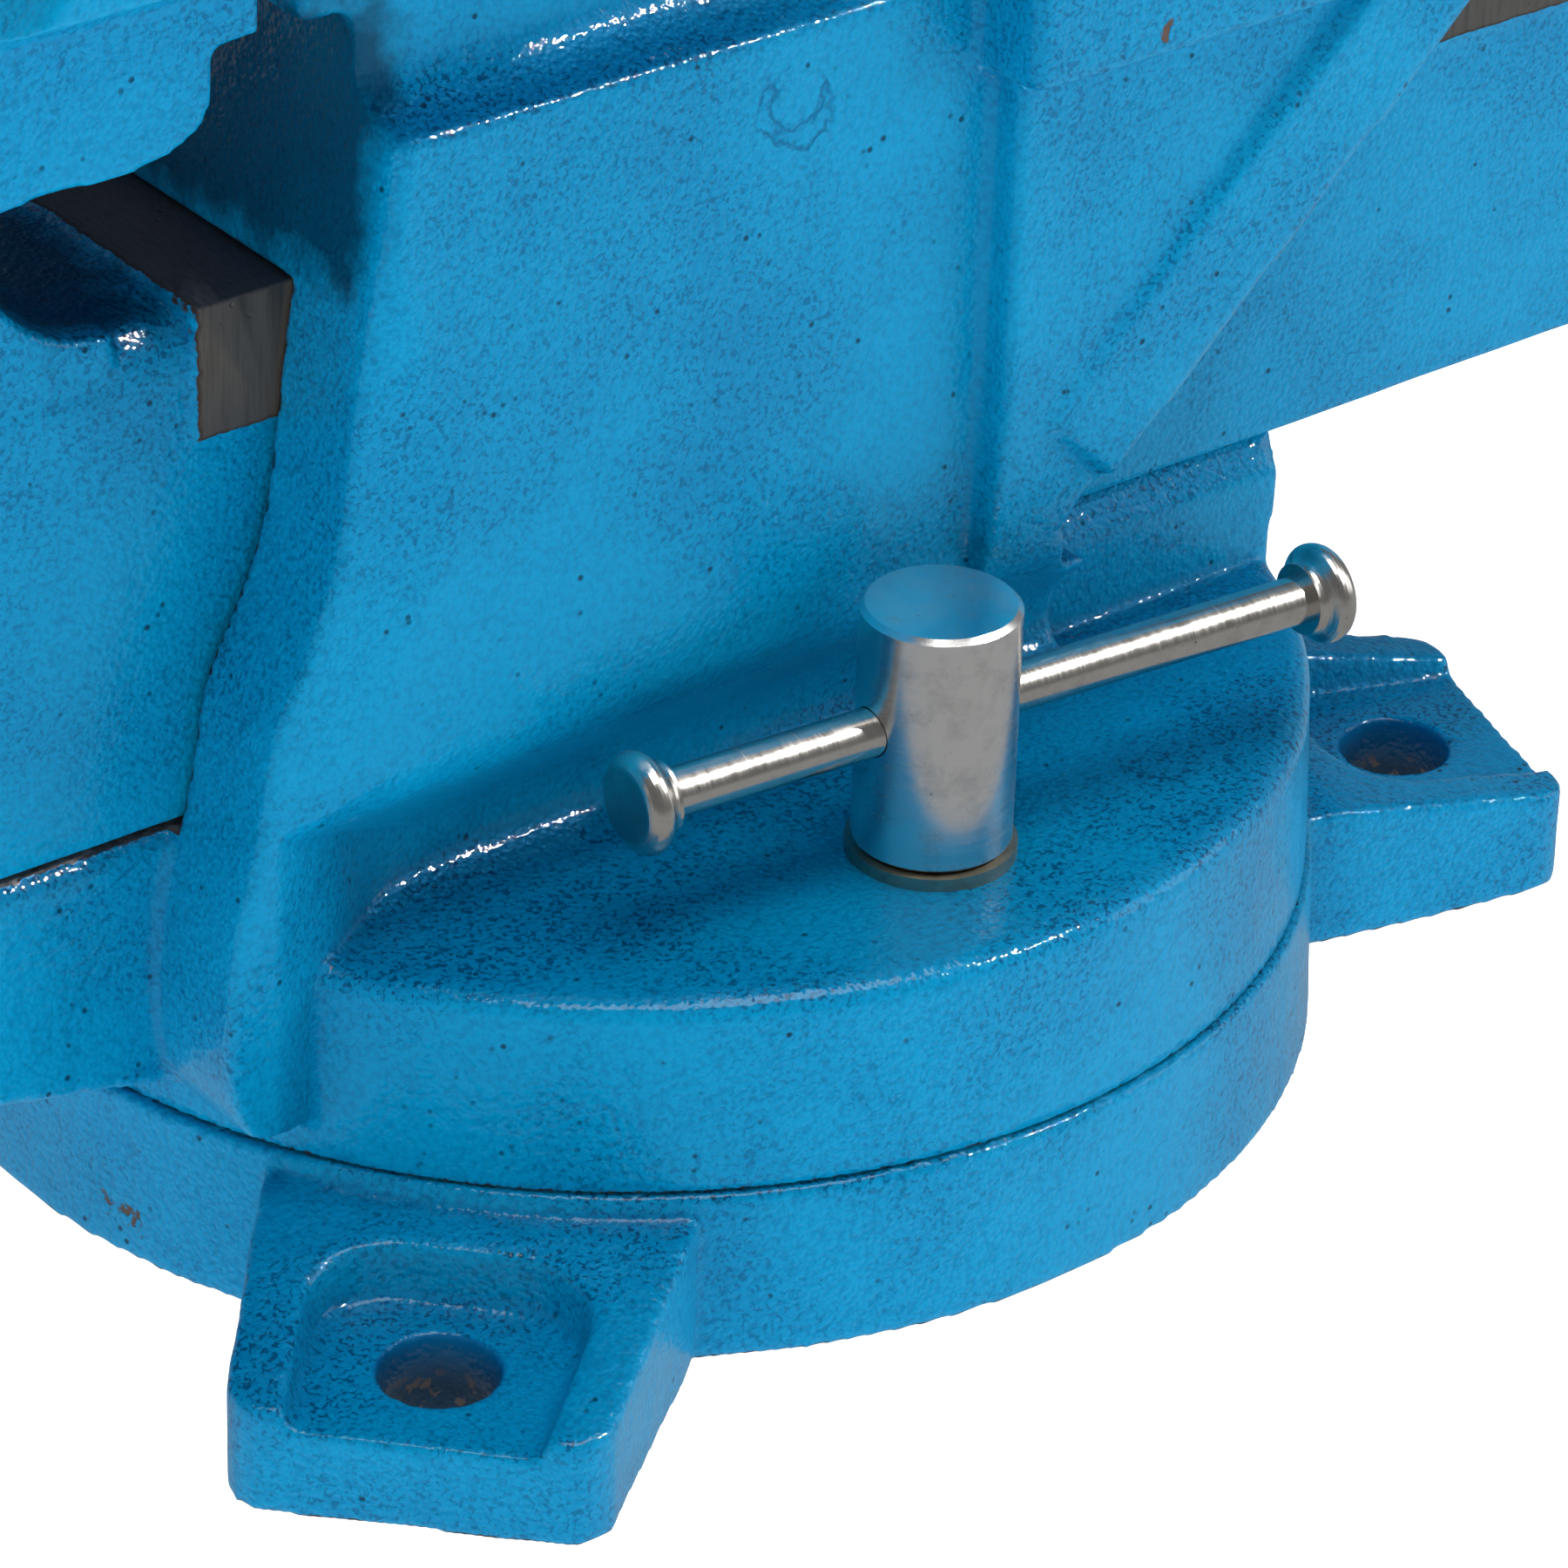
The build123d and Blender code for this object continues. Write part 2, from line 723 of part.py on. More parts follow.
def moving_jaw():
    """Moving jaw casting: slide channel, neck, flared head and spindle boss."""
    casting = slide_outside()
    casting += moving_jaw_neck()
    casting += moving_jaw_head()
    boss = lying(boss_radius, boss_face, slide_front + 12)
    rim = boss.edges().filter_by(GeomType.CIRCLE).sort_by(Axis.X)[0]
    casting += fillet(rim, 2.0)
    half = slide_inner_half
    casting -= box_between(wall_inside, slide_rear + 1, -half, half, slide_bottom - 1, slide_ceiling)
    casting -= lying(bush_radius, boss_face - 1, wall_inside + 1)
    seat = moving_working_face - plate_thick
    casting -= box_between(seat, moving_face + 1, -jaw_half - 1, jaw_half + 1, plate_bottom, plate_top)
    for y in plate_screw_places():
        hole_end = moving_working_face - plate_screw_length
        casting -= facing_front(plate_screw_radius, hole_end, seat + 1, y, plate_mid)
    return casting


def thrust_bush():
    """Bronze bush in the front wall of the moving jaw."""
    bore = lying(screw_radius + running_fit, boss_face - 1, wall_inside + 1)
    return lying(bush_radius, boss_face, wall_inside) - bore


def crosswise(radius, length):
    """Cylinder along Y through the lead screw axis."""
    return Pos(0, 0, screw_z) * Rot(90, 0, 0) * Cylinder(radius, length)


def lead_screw():
    """Spindle with its head, cross-drilled for the handle bar; thread modelled at its outside diameter."""
    head = lying(screw_head_radius, head_front, head_rear)
    head = chamfer(head.edges().filter_by(GeomType.CIRCLE), 2.0)
    shaft = lying(screw_radius, head_rear - 2, screw_tip)
    tip = shaft.edges().filter_by(GeomType.CIRCLE).sort_by(Axis.X)[-1]
    spindle = head + chamfer(tip, 2.0)
    spindle -= Pos(handle_x, 0, 0) * crosswise(handle_radius + handle_hole_gap, 3 * screw_head_radius)
    return spindle - Pos(collar_mid, 0, 0) * crosswise(collar_pin_radius, 3 * screw_radius)


def thrust_washer():
    """Steel washer between the spindle head and the boss."""
    face = head_rear + thrust_washer_thick
    disc = lying(screw_head_radius + thrust_washer_edge, head_rear, face)
    return disc - lying(screw_radius, head_rear - 1, face + 1)


def return_spring():
    """Coil spring behind the front wall that keeps the spindle drawn in."""
    length = spring_length - 2 * spring_wire
    path = Helix(pitch=length / spring_turns, height=length, radius=spring_radius)
    section = Plane(origin=path @ 0, z_dir=path % 0) * Circle(spring_wire)
    coil = sweep(section, path=path, is_frenet=True)
    return Pos(wall_inside + 0.2 + spring_wire, 0, screw_z) * Rot(0, 90, 0) * coil


def retaining_collar():
    """Collar pinned to the spindle behind the spring."""
    end = collar_start + collar_length
    collar = lying(collar_radius, collar_start, end)
    collar -= lying(screw_radius, collar_start - 1, end + 1)
    return collar - Pos(collar_mid, 0, 0) * crosswise(collar_pin_radius, 3 * collar_radius)


def collar_pin():
    """Cross pin through collar and spindle."""
    return Pos(collar_mid, 0, 0) * crosswise(collar_pin_radius, 2 * collar_radius - 1.5)


def spindle_nut():
    """Cast nut standing on the bed inside the slide, with a foot for its screw."""
    foot_end = nut_end + nut_foot_length
    foot_top = bed_top + nut_foot_height
    block = box_between(nut_front, nut_end, -nut_half, nut_half, bed_top, screw_z)
    block += lying(nut_half, nut_front, nut_end)
    block += box_between(nut_end - 1, foot_end, -nut_half, nut_half, bed_top, foot_top)
    block -= lying(screw_radius + running_fit, nut_front - 1, nut_end + 1)
    return block - Pos(nut_screw_x, 0, 0) * upright(nut_screw_radius, bed_top - 1, foot_top + 1)


def nut_screw():
    """Screw that fixes the nut to the bed, set just clear of the spindle above it."""
    foot_top = bed_top + nut_foot_height
    head = make_face(RegularPolygon(nut_screw_head, 6).edges())
    screw = extrude(Pos(0, 0, foot_top) * head, 5.0)
    screw += upright(nut_screw_radius, bed_top - 14, foot_top + 1)
    return Pos(nut_screw_x, 0, 0) * screw


def pivot_bolt():
    """Bolt under the base that the turntable turns on."""
    hexagon = make_face(RegularPolygon(pivot_head_radius, 6).edges())
    bolt = extrude(Pos(0, 0, 0.5) * hexagon, pivot_head_height)
    return bolt + upright(pivot_radius, 1, disc_bottom + pivot_thread_depth - 1)


def pivot_washer():
    """Washer above the pivot bolt head."""
    low = 0.5 + pivot_head_height
    return ring(pivot_radius, pivot_washer_radius, low, low + pivot_washer_thick)


def handle_rod():
    """Sliding bar of the main handle, lying level."""
    return Pos(handle_x, 0, 0) * crosswise(handle_radius, 2 * handle_half)


def handle_knobs():
    """Turned knobs on both ends of the handle bar."""
    knobs = []
    for sign in (-1, 1):
        outline = smooth_points(
            [
                (handle_radius + 1.2, 0.0),
                (handle_knob_radius - 0.6, 2.8),
                (handle_knob_radius, handle_knob_length * 0.5),
                (handle_knob_radius - 1.4, handle_knob_length - 2.6),
                (handle_knob_radius - 4.5, handle_knob_length),
            ]
        )
        shape = make_face(Plane.XZ * Polyline((0, 0), *outline, (0, handle_knob_length), close=True))
        knob = revolve(shape, Axis.Z)
        knob -= upright(handle_radius, -1, handle_knob_length - 3.0)
        start = handle_half - handle_knob_length + 3.0
        knobs.append(Pos(handle_x, sign * start, screw_z) * Rot(-sign * 90, 0, 0) * knob)
    return Compound(knobs)


def lock_bolt(sign, turn):
    """Tall round-headed bolt that clamps the turntable, drilled for its small bar."""
    head = upright(lock_head_radius, lock_head_bottom, lock_head_top)
    head = chamfer(head.edges().filter_by(GeomType.CIRCLE), 0.6)
    bolt = head + upright(lock_shank_radius, groove_floor + 1.0, lock_head_bottom + 2)
    drill = Rot(0, 90, 0) * Cylinder(lock_bar_radius + lock_bar_gap, 4 * lock_head_radius)
    bolt -= Rot(0, 0, turn) * Pos(0, 0, lock_bar_z) * drill
    return Pos(0, sign * lock_circle, 0) * bolt


def lock_bar(sign, turn, shift):
    """Small sliding bar through a lock bolt."""
    bar = Pos(shift, 0, lock_bar_z) * Rot(0, 90, 0) * Cylinder(lock_bar_radius, 2 * lock_bar_half)
    return Pos(0, sign * lock_circle, 0) * Rot(0, 0, turn) * bar


def lock_bar_knobs(sign, turn, shift):
    """Button ends of a small bar, each with a thinner collar on the inside."""
    knobs = []
    for end in (-1, 1):
        outline = smooth_points(
            [
                (lock_bar_radius + 1.3, 0.0),
                (lock_bar_radius + 1.5, 1.0),
                (lock_knob_radius, 2.2),
                (lock_knob_radius, lock_knob_length - 1.2),
                (lock_knob_radius - 1.6, lock_knob_length),
            ],
            4,
        )
        shape = make_face(Plane.XZ * Polyline((0, 0), *outline, (0, lock_knob_length), close=True))
        knob = revolve(shape, Axis.Z)
        knob -= upright(lock_bar_radius, -1, lock_knob_length - 1.2)
        start = lock_bar_half - lock_knob_length + 1.2
        knobs.append(Pos(shift + end * start, 0, lock_bar_z) * Rot(0, end * 90, 0) * knob)
    return Pos(0, sign * lock_circle, 0) * Rot(0, 0, turn) * Compound(knobs)


def lock_washers():
    """Washers under both lock bolts."""
    washer = ring(lock_shank_radius + 0.4, lock_washer_radius, disc_top, disc_top + lock_washer_thick)
    return Compound([Pos(0, sign * lock_circle, 0) * washer for sign in (-1, 1)])


def clamp_nuts():
    """Flat nuts that ride in the ring groove under both lock bolts."""
    low = groove_floor + 0.2
    high = groove_roof - 0.2
    half_length = lock_nut_length / 2
    half_width = groove_width / 2 - 1.5
    nut = box_between(-half_length, half_length, -half_width, half_width, low, high)
    nut -= upright(lock_shank_radius + running_fit, low - 1, high + 1)
    return Compound([Pos(0, sign * lock_circle, 0) * nut for sign in (-1, 1)])


os.makedirs("parts", exist_ok=True)
export_step(swivel_base(), "parts/swivel_base.step")
export_step(fixed_jaw_body(), "parts/fixed_jaw_body.step")
export_step(jaw_plate(fixed_working_face, 1), "parts/fixed_jaw_plate.step")
export_step(plate_screws(fixed_working_face, 1), "parts/fixed_plate_screws.step")
export_step(spindle_nut(), "parts/spindle_nut.step")
export_step(nut_screw(), "parts/nut_screw.step")
export_step(pivot_bolt(), "parts/pivot_bolt.step")
export_step(pivot_washer(), "parts/pivot_washer.step")
export_step(lock_washers(), "parts/lock_washers.step")
export_step(clamp_nuts(), "parts/clamp_nuts.step")
export_step(moving_jaw(), "parts/moving_jaw.step")
export_step(jaw_plate(moving_working_face, -1), "parts/moving_jaw_plate.step")
export_step(plate_screws(moving_working_face, -1), "parts/moving_plate_screws.step")
export_step(thrust_bush(), "parts/thrust_bush.step")
export_step(lead_screw(), "parts/lead_screw.step")
export_step(thrust_washer(), "parts/thrust_washer.step")
export_step(return_spring(), "parts/return_spring.step")
export_step(retaining_collar(), "parts/retaining_collar.step")
export_step(collar_pin(), "parts/collar_pin.step")
export_step(handle_rod(), "parts/handle_rod.step")
export_step(handle_knobs(), "parts/handle_knobs.step")
export_step(lock_bolt(-1, near_bar_turn), "parts/lock_bolt_near.step")
export_step(lock_bar(-1, near_bar_turn, near_bar_shift), "parts/lock_bar_near.step")
export_step(lock_bar_knobs(-1, near_bar_turn, near_bar_shift), "parts/lock_bar_knobs_near.step")
export_step(lock_bolt(1, far_bar_turn), "parts/lock_bolt_far.step")
export_step(lock_bar(1, far_bar_turn, far_bar_shift), "parts/lock_bar_far.step")
export_step(lock_bar_knobs(1, far_bar_turn, far_bar_shift), "parts/lock_bar_knobs_far.step")
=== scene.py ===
import math
import bpy
import numpy as np
from mathutils import Matrix, Vector, noise
from mathutils.bvhtree import BVHTree


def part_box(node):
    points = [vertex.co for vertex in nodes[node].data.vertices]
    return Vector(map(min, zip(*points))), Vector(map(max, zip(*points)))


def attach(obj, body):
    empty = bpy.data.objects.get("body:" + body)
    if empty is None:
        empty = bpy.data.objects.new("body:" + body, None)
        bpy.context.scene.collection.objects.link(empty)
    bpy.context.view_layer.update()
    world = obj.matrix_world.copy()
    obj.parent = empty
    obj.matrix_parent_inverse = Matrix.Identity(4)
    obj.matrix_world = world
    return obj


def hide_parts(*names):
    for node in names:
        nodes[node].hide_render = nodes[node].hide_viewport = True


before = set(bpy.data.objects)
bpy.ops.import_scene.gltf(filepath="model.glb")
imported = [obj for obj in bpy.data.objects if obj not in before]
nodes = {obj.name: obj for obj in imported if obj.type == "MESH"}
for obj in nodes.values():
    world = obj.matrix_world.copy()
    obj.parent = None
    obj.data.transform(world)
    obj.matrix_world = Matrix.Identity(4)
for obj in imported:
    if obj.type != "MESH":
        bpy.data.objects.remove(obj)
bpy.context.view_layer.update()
mm = 0.001
print("frame loaded,", len(nodes), "nodes")


# shared helpers

def hexColor(text):
    # sRGB hex to the linear values that the shaders take
    parts = [int(text[i:i + 2], 16) / 255 for i in (1, 3, 5)]
    return [p / 12.92 if p <= 0.04045 else ((p + 0.055) / 1.055) ** 2.4 for p in parts] + [1.0]


def addNode(tree, kind, inputs=None, **settings):
    node = tree.nodes.new(kind)
    for name, value in settings.items():
        setattr(node, name, value)
    for socket, value in (inputs or {}).items():
        if isinstance(value, bpy.types.NodeSocket):
            tree.links.new(value, node.inputs[socket])
        else:
            node.inputs[socket].default_value = value
    return node


def newMaterial(name, **values):
    material = bpy.data.materials.new(name)
    material.use_nodes = True
    tree = material.node_tree
    tree.nodes.clear()
    shader = addNode(tree, "ShaderNodeBsdfPrincipled", values)
    addNode(tree, "ShaderNodeOutputMaterial", {"Surface": shader.outputs["BSDF"]})
    place = addNode(tree, "ShaderNodeTexCoord").outputs["Object"]
    return material, tree, shader, place


def boxDistance(tree, place, low, high):
    # how far a point is outside a box given in millimetres, negative inside it
    middle = [(a + b) / 2 * mm for a, b in zip(low, high)]
    half = [(b - a) / 2 * mm for a, b in zip(low, high)]
    offset = addNode(tree, "ShaderNodeVectorMath", {0: place, 1: middle}, operation="SUBTRACT").outputs[0]
    offset = addNode(tree, "ShaderNodeVectorMath", {0: offset}, operation="ABSOLUTE").outputs[0]
    offset = addNode(tree, "ShaderNodeVectorMath", {0: offset, 1: half}, operation="SUBTRACT").outputs[0]
    x, y, z = addNode(tree, "ShaderNodeSeparateXYZ", {0: offset}).outputs
    outer = addNode(tree, "ShaderNodeMath", {0: x, 1: y}, operation="MAXIMUM").outputs[0]
    return addNode(tree, "ShaderNodeMath", {0: outer, 1: z}, operation="MAXIMUM").outputs[0]


def nearest(tree, distances):
    result = distances[0]
    for distance in distances[1:]:
        result = addNode(tree, "ShaderNodeMath", {0: result, 1: distance}, operation="MINIMUM").outputs[0]
    return result


def newPiece(name, mesh, body, material, slot, *replaced):
    piece = bpy.data.objects.new(name, mesh)
    bpy.context.scene.collection.objects.link(piece)
    mesh.materials.clear()
    mesh.materials.append(material)
    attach(piece, body)
    if replaced:
        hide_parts(*replaced)
    return piece


def smoothByAngle(mesh, degrees):
    mesh.polygons.foreach_set("use_smooth", [True] * len(mesh.polygons))
    mesh.set_sharp_from_angle(angle=math.radians(degrees))


# cast iron under blue enamel

enamel = {
    "light": "#008bbb",           # cyan blue where the coat is even
    "dark": "#007fae",            # the same coat in the hollows of the grain
    "deep": "#00588c",            # thick coat in the cloudy patches; also the painted shade in concave corners
    "pit": "#03263a",             # pinholes left by the sand
    "rust": "#5a4a40",            # iron gone brown where paint has chipped
    "speck": "#004a73",           # dark dots of the sand through thin paint
    "paintedShade": "#01263f",            # painted shade, nearly black
    "scar": "#03517f",
    "holeMouthShade": "#0068a0",       # painted shade at the mouth of a bolt hole, lighter than deeper down
    # painted shade deep in a bolt hole
    "holeDeepShade": "#04283e",
    "sheen": "#0a8fd0",           # the coat's own tint in a reflection
    "speckStrength": 0.95,
    "pitMm": 1.9,                 # spacing of the pinholes
    "ragMm": 1.6,                 # raggedness of a paint edge
    "grainMm": 0.7,               # sand grain seen through the coat
    "waveMm": 5.5,                # slow waves of the hand-made mould
    "cloudMm": 26.0,              # thick and thin areas of the dipped coat
    "grainDepthMm": 0.15,
    "runMm": 1.9,                 # lumps of the gloss itself, which break a highlight up
    "runDepthMm": 0.19,
    "waveDepthMm": 0.20,
    "roughness": 0.42,
    "coat": 0.55,
    "coatRoughness": 0.04,
}
bareIron = {
    "side": "#5f5c57",            # milled and worn
    "top": "#56565a",             # milled top, darker than the sides as painted shade
    "anvil": "#8f8d8a",           # wiped clean and struck
    "edge": "#40322a",            # brown line where paint ends
    "cutDark": "#3b3a3b",         # oil in the cutter marks
    "cutMm": 0.5,                 # pitch of the cutter marks, drawn coarser than real to show
}


def castEnamel(name, seed, bareBoxes, chips, marks=(), shadeBoxes=(), bores=(), landTop="top"):
    # sand-cast iron dipped in thick gloss enamel: an even grain that breaks a lamp's reflection into
    # rows of specks along soft edges, painted shade in corners and named boxes, pinholes in patches; bare
    # milled lands where named
    material, tree, shader, place = newMaterial(name, **{
        "IOR": 1.5, "Specular IOR Level": 0.22, "Specular Tint": hexColor(enamel["sheen"]),
        "Coat Roughness": enamel["coatRoughness"]})
    moved = addNode(tree, "ShaderNodeVectorMath", {
        0: place, 1: (seed, -seed, seed * 0.6)}, operation="ADD").outputs[0]
    grainRate = 1 / (enamel["grainMm"] * mm)
    grain = addNode(tree, "ShaderNodeTexNoise", {
        "Vector": moved, "Scale": grainRate * 0.75, "Detail": 2.5, "Roughness": 0.6}).outputs["Fac"]
    lumps = addNode(tree, "ShaderNodeTexVoronoi", {"Vector": moved, "Scale": grainRate, "Smoothness": 0.6},
                    feature="SMOOTH_F1").outputs["Distance"]
    wave = addNode(tree, "ShaderNodeTexNoise",
                   {"Vector": moved, "Scale": 1 / (enamel["waveMm"] * mm), "Detail": 3.0}).outputs["Fac"]
    cloud = addNode(tree, "ShaderNodeTexNoise",
                    {"Vector": moved, "Scale": 1 / (enamel["cloudMm"] * mm), "Detail": 3.0}).outputs["Fac"]

    # the coat's own colour: grain, thick and thin areas; then painted shade darkening the corners
    tone = addNode(tree, "ShaderNodeMath", {
        0: grain,
        1: addNode(tree, "ShaderNodeMapRange", {
            "Value": lumps, "From Min": 0.2, "From Max": 0.9, "To Min": 0.16, "To Max": -0.16
        }).outputs[0]}, operation="ADD").outputs[0]
    paint = addNode(tree, "ShaderNodeMix", {
        0: addNode(tree, "ShaderNodeMapRange", {
            "Value": tone, "From Min": 0.34, "From Max": 0.6}).outputs[0],
        6: hexColor(enamel["dark"]), 7: hexColor(enamel["light"])}, data_type="RGBA").outputs[2]
    paint = addNode(tree, "ShaderNodeMix", {
        0: addNode(tree, "ShaderNodeMapRange", {
            "Value": cloud, "From Min": 0.42, "From Max": 0.72, "To Min": 0.0, "To Max": 0.35
        }).outputs[0],
        6: paint, 7: hexColor(enamel["deep"])}, data_type="RGBA").outputs[2]
    upward = addNode(tree, "ShaderNodeSeparateXYZ",
                     {0: addNode(tree, "ShaderNodeTexCoord").outputs["Normal"]}).outputs["Z"]
    dot = addNode(tree, "ShaderNodeTexNoise", {
        "Vector": moved, "Scale": grainRate * 1.1, "Detail": 2.0, "Roughness": 0.5, "Distortion": 0.6
    }).outputs["Fac"]
    spotted = addNode(tree, "ShaderNodeMath", {
        0: addNode(tree, "ShaderNodeMapRange", {
            "Value": dot, "From Min": 0.47, "From Max": 0.38}).outputs[0],
        1: addNode(tree, "ShaderNodeMapRange", {
            "Value": cloud, "From Min": 0.4, "From Max": 0.58, "To Min": 0.2,
            "To Max": enamel["speckStrength"]}).outputs[0]}, operation="MULTIPLY").outputs[0]
    # painted shade: the dark dots are made denser on upward faces and sparser on downward ones
    spotted = addNode(tree, "ShaderNodeMath", {
        0: spotted,
        1: addNode(tree, "ShaderNodeMapRange", {
            "Value": upward, "From Min": 0.1, "From Max": 0.9, "To Min": 0.6, "To Max": 1.3}).outputs[0]
    }, operation="MULTIPLY").outputs[0]
    paint = addNode(tree, "ShaderNodeMix", {
        0: spotted, 6: paint, 7: hexColor(enamel["speck"])}, data_type="RGBA").outputs[2]
    # painted shade: concave corners and creases darkened towards the deep tone by the mesh's pointiness
    bend = addNode(tree, "ShaderNodeNewGeometry").outputs["Pointiness"]
    paint = addNode(tree, "ShaderNodeMix", {
        0: addNode(tree, "ShaderNodeMapRange", {
            "Value": bend, "From Min": 0.42, "From Max": 0.495, "To Min": 0.8, "To Max": 0.0}).outputs[0],
        6: paint, 7: hexColor(enamel["deep"])}, data_type="RGBA").outputs[2]

    # painted shade: dark glossy patches with a wavy edge inside the named boxes
    if shadeBoxes:
        paintedShade = addNode(tree, "ShaderNodeMath", {
            0: nearest(tree, [boxDistance(tree, place, low, high) for low, high in shadeBoxes]),
            1: addNode(tree, "ShaderNodeMapRange", {
                "Value": wave, "From Min": 0.3, "From Max": 0.7, "To Min": -2.0 * mm, "To Max": 2.0 * mm
            }).outputs[0]}, operation="ADD").outputs[0]
        inShade = addNode(tree, "ShaderNodeMapRange", {
            "Value": paintedShade, "From Min": -3.0 * mm, "From Max": 1.5 * mm, "To Min": 1.0, "To Max": 0.0
        }).outputs[0]
        paint = addNode(tree, "ShaderNodeMix", {
            0: addNode(tree, "ShaderNodeMapRange", {
                "Value": inShade, "From Min": 0.0, "From Max": 1.0, "To Min": 0.0, "To Max": 0.82
            }).outputs[0],
            6: paint, 7: hexColor(enamel["paintedShade"])}, data_type="RGBA").outputs[2]

    # pinholes, in patches
    cell = addNode(tree, "ShaderNodeTexVoronoi", {
        "Vector": moved, "Scale": 1 / (enamel["pitMm"] * mm)}).outputs["Distance"]
    hole = addNode(tree, "ShaderNodeMapRange", {
        "Value": cell, "From Min": 0.1, "From Max": 0.22, "To Min": 1.0, "To Max": 0.0}).outputs[0]
    patch = addNode(tree, "ShaderNodeMapRange", {
        "Value": wave, "From Min": 0.57, "From Max": 0.64}).outputs[0]
    pits = addNode(tree, "ShaderNodeMath", {0: hole, 1: patch}, operation="MULTIPLY").outputs[0]
    paint = addNode(tree, "ShaderNodeMix", {
        0: addNode(tree, "ShaderNodeMapRange", {
            "Value": pits, "From Min": 0.0, "From Max": 1.0, "To Min": 0.0, "To Max": 0.85}).outputs[0],
        6: paint, 7: hexColor(enamel["pit"])}, data_type="RGBA").outputs[2]

    # the bolt holes: painted shade on the wall, darker deeper down; rust low down
    ragged = addNode(tree, "ShaderNodeTexNoise", {
        "Vector": moved, "Scale": 1 / (enamel["ragMm"] * mm), "Detail": 3.0}).outputs["Fac"]
    for x, y, radius in bores:
        flat = addNode(tree, "ShaderNodeMapping", {
            "Vector": place, "Location": (-x * mm, -y * mm, 0), "Scale": (1, 1, 0)}).outputs[0]
        reachOut = addNode(tree, "ShaderNodeVectorMath", {0: flat}, operation="LENGTH").outputs["Value"]
        inBore = addNode(tree, "ShaderNodeMapRange", {
            "Value": reachOut, "From Min": radius * mm, "From Max": (radius + 0.5) * mm, "To Min": 1.0,
            "To Max": 0.0}).outputs[0]
        height = addNode(tree, "ShaderNodeSeparateXYZ", {0: place}).outputs["Z"]
        # painted shade: the wall grades from the mouth colour to the deep colour going down
        wall = addNode(tree, "ShaderNodeMix", {
            0: addNode(tree, "ShaderNodeMapRange", {
                "Value": height, "From Min": 4 * mm, "From Max": 11 * mm, "To Min": 0.97, "To Max": 0.1
            }).outputs[0],
            6: hexColor(enamel["holeMouthShade"]), 7: hexColor(enamel["holeDeepShade"])
        }, data_type="RGBA").outputs[2]
        low = addNode(tree, "ShaderNodeMath", {
            0: addNode(tree, "ShaderNodeMapRange", {
                "Value": height, "From Min": 4.5 * mm, "From Max": 6.5 * mm, "To Min": 0.8, "To Max": 0.0
            }).outputs[0],
            1: addNode(tree, "ShaderNodeMapRange", {
                "Value": ragged, "From Min": 0.56, "From Max": 0.6}).outputs[0]
        }, operation="MULTIPLY").outputs[0]
        wall = addNode(tree, "ShaderNodeMix", {
            0: low, 6: wall, 7: hexColor(enamel["rust"])}, data_type="RGBA").outputs[2]
        paint = addNode(tree, "ShaderNodeMix", {
            0: inBore, 6: paint, 7: wall}, data_type="RGBA").outputs[2]
    # small drawn marks: shallow curved scars of the casting
    scar = None
    for centre, radius, width, low, high in marks:
        away = addNode(tree, "ShaderNodeVectorMath", {
            0: place, 1: [c * mm for c in centre]}, operation="DISTANCE").outputs["Value"]
        ringGap = addNode(tree, "ShaderNodeMath", {0: away, 1: radius * mm}, operation="SUBTRACT").outputs[0]
        ringGap = addNode(tree, "ShaderNodeMath", {0: ringGap}, operation="ABSOLUTE").outputs[0]
        ringGap = addNode(tree, "ShaderNodeMath", {
            0: ringGap,
            1: addNode(tree, "ShaderNodeMapRange", {
                "Value": ragged, "From Min": 0.3, "From Max": 0.7, "To Min": -0.9 * mm, "To Max": 0.9 * mm
            }).outputs[0]}, operation="ADD").outputs[0]
        ringGap = addNode(tree, "ShaderNodeMath", {
            0: ringGap,
            1: addNode(tree, "ShaderNodeMapRange", {
                "Value": wave, "From Min": 0.3, "From Max": 0.7, "To Min": -2.2 * mm, "To Max": 2.2 * mm
            }).outputs[0]}, operation="ADD").outputs[0]
        ringGap = addNode(tree, "ShaderNodeMath", {0: ringGap}, operation="ABSOLUTE").outputs[0]
        inside = addNode(tree, "ShaderNodeMapRange", {
            "Value": boxDistance(tree, place, low, high), "From Min": -1.5 * mm, "From Max": 0.5 * mm,
            "To Min": 1.0, "To Max": 0.0}).outputs[0]
        line = addNode(tree, "ShaderNodeMath", {
            0: addNode(tree, "ShaderNodeMapRange", {
                "Value": ringGap, "From Min": 0.0, "From Max": width * mm, "To Min": 1.0, "To Max": 0.0
            }).outputs[0],
            1: inside}, operation="MULTIPLY").outputs[0]
        if scar is not None:
            line = addNode(tree, "ShaderNodeMath", {0: scar, 1: line}, operation="MAXIMUM").outputs[0]
        scar = line
    if scar is not None:
        paint = addNode(tree, "ShaderNodeMix", {
            0: addNode(tree, "ShaderNodeMapRange", {
                "Value": scar, "From Min": 0.0, "From Max": 1.0, "To Min": 0.0, "To Max": 0.65
            }).outputs[0],
            6: paint, 7: hexColor(enamel["scar"])}, data_type="RGBA").outputs[2]

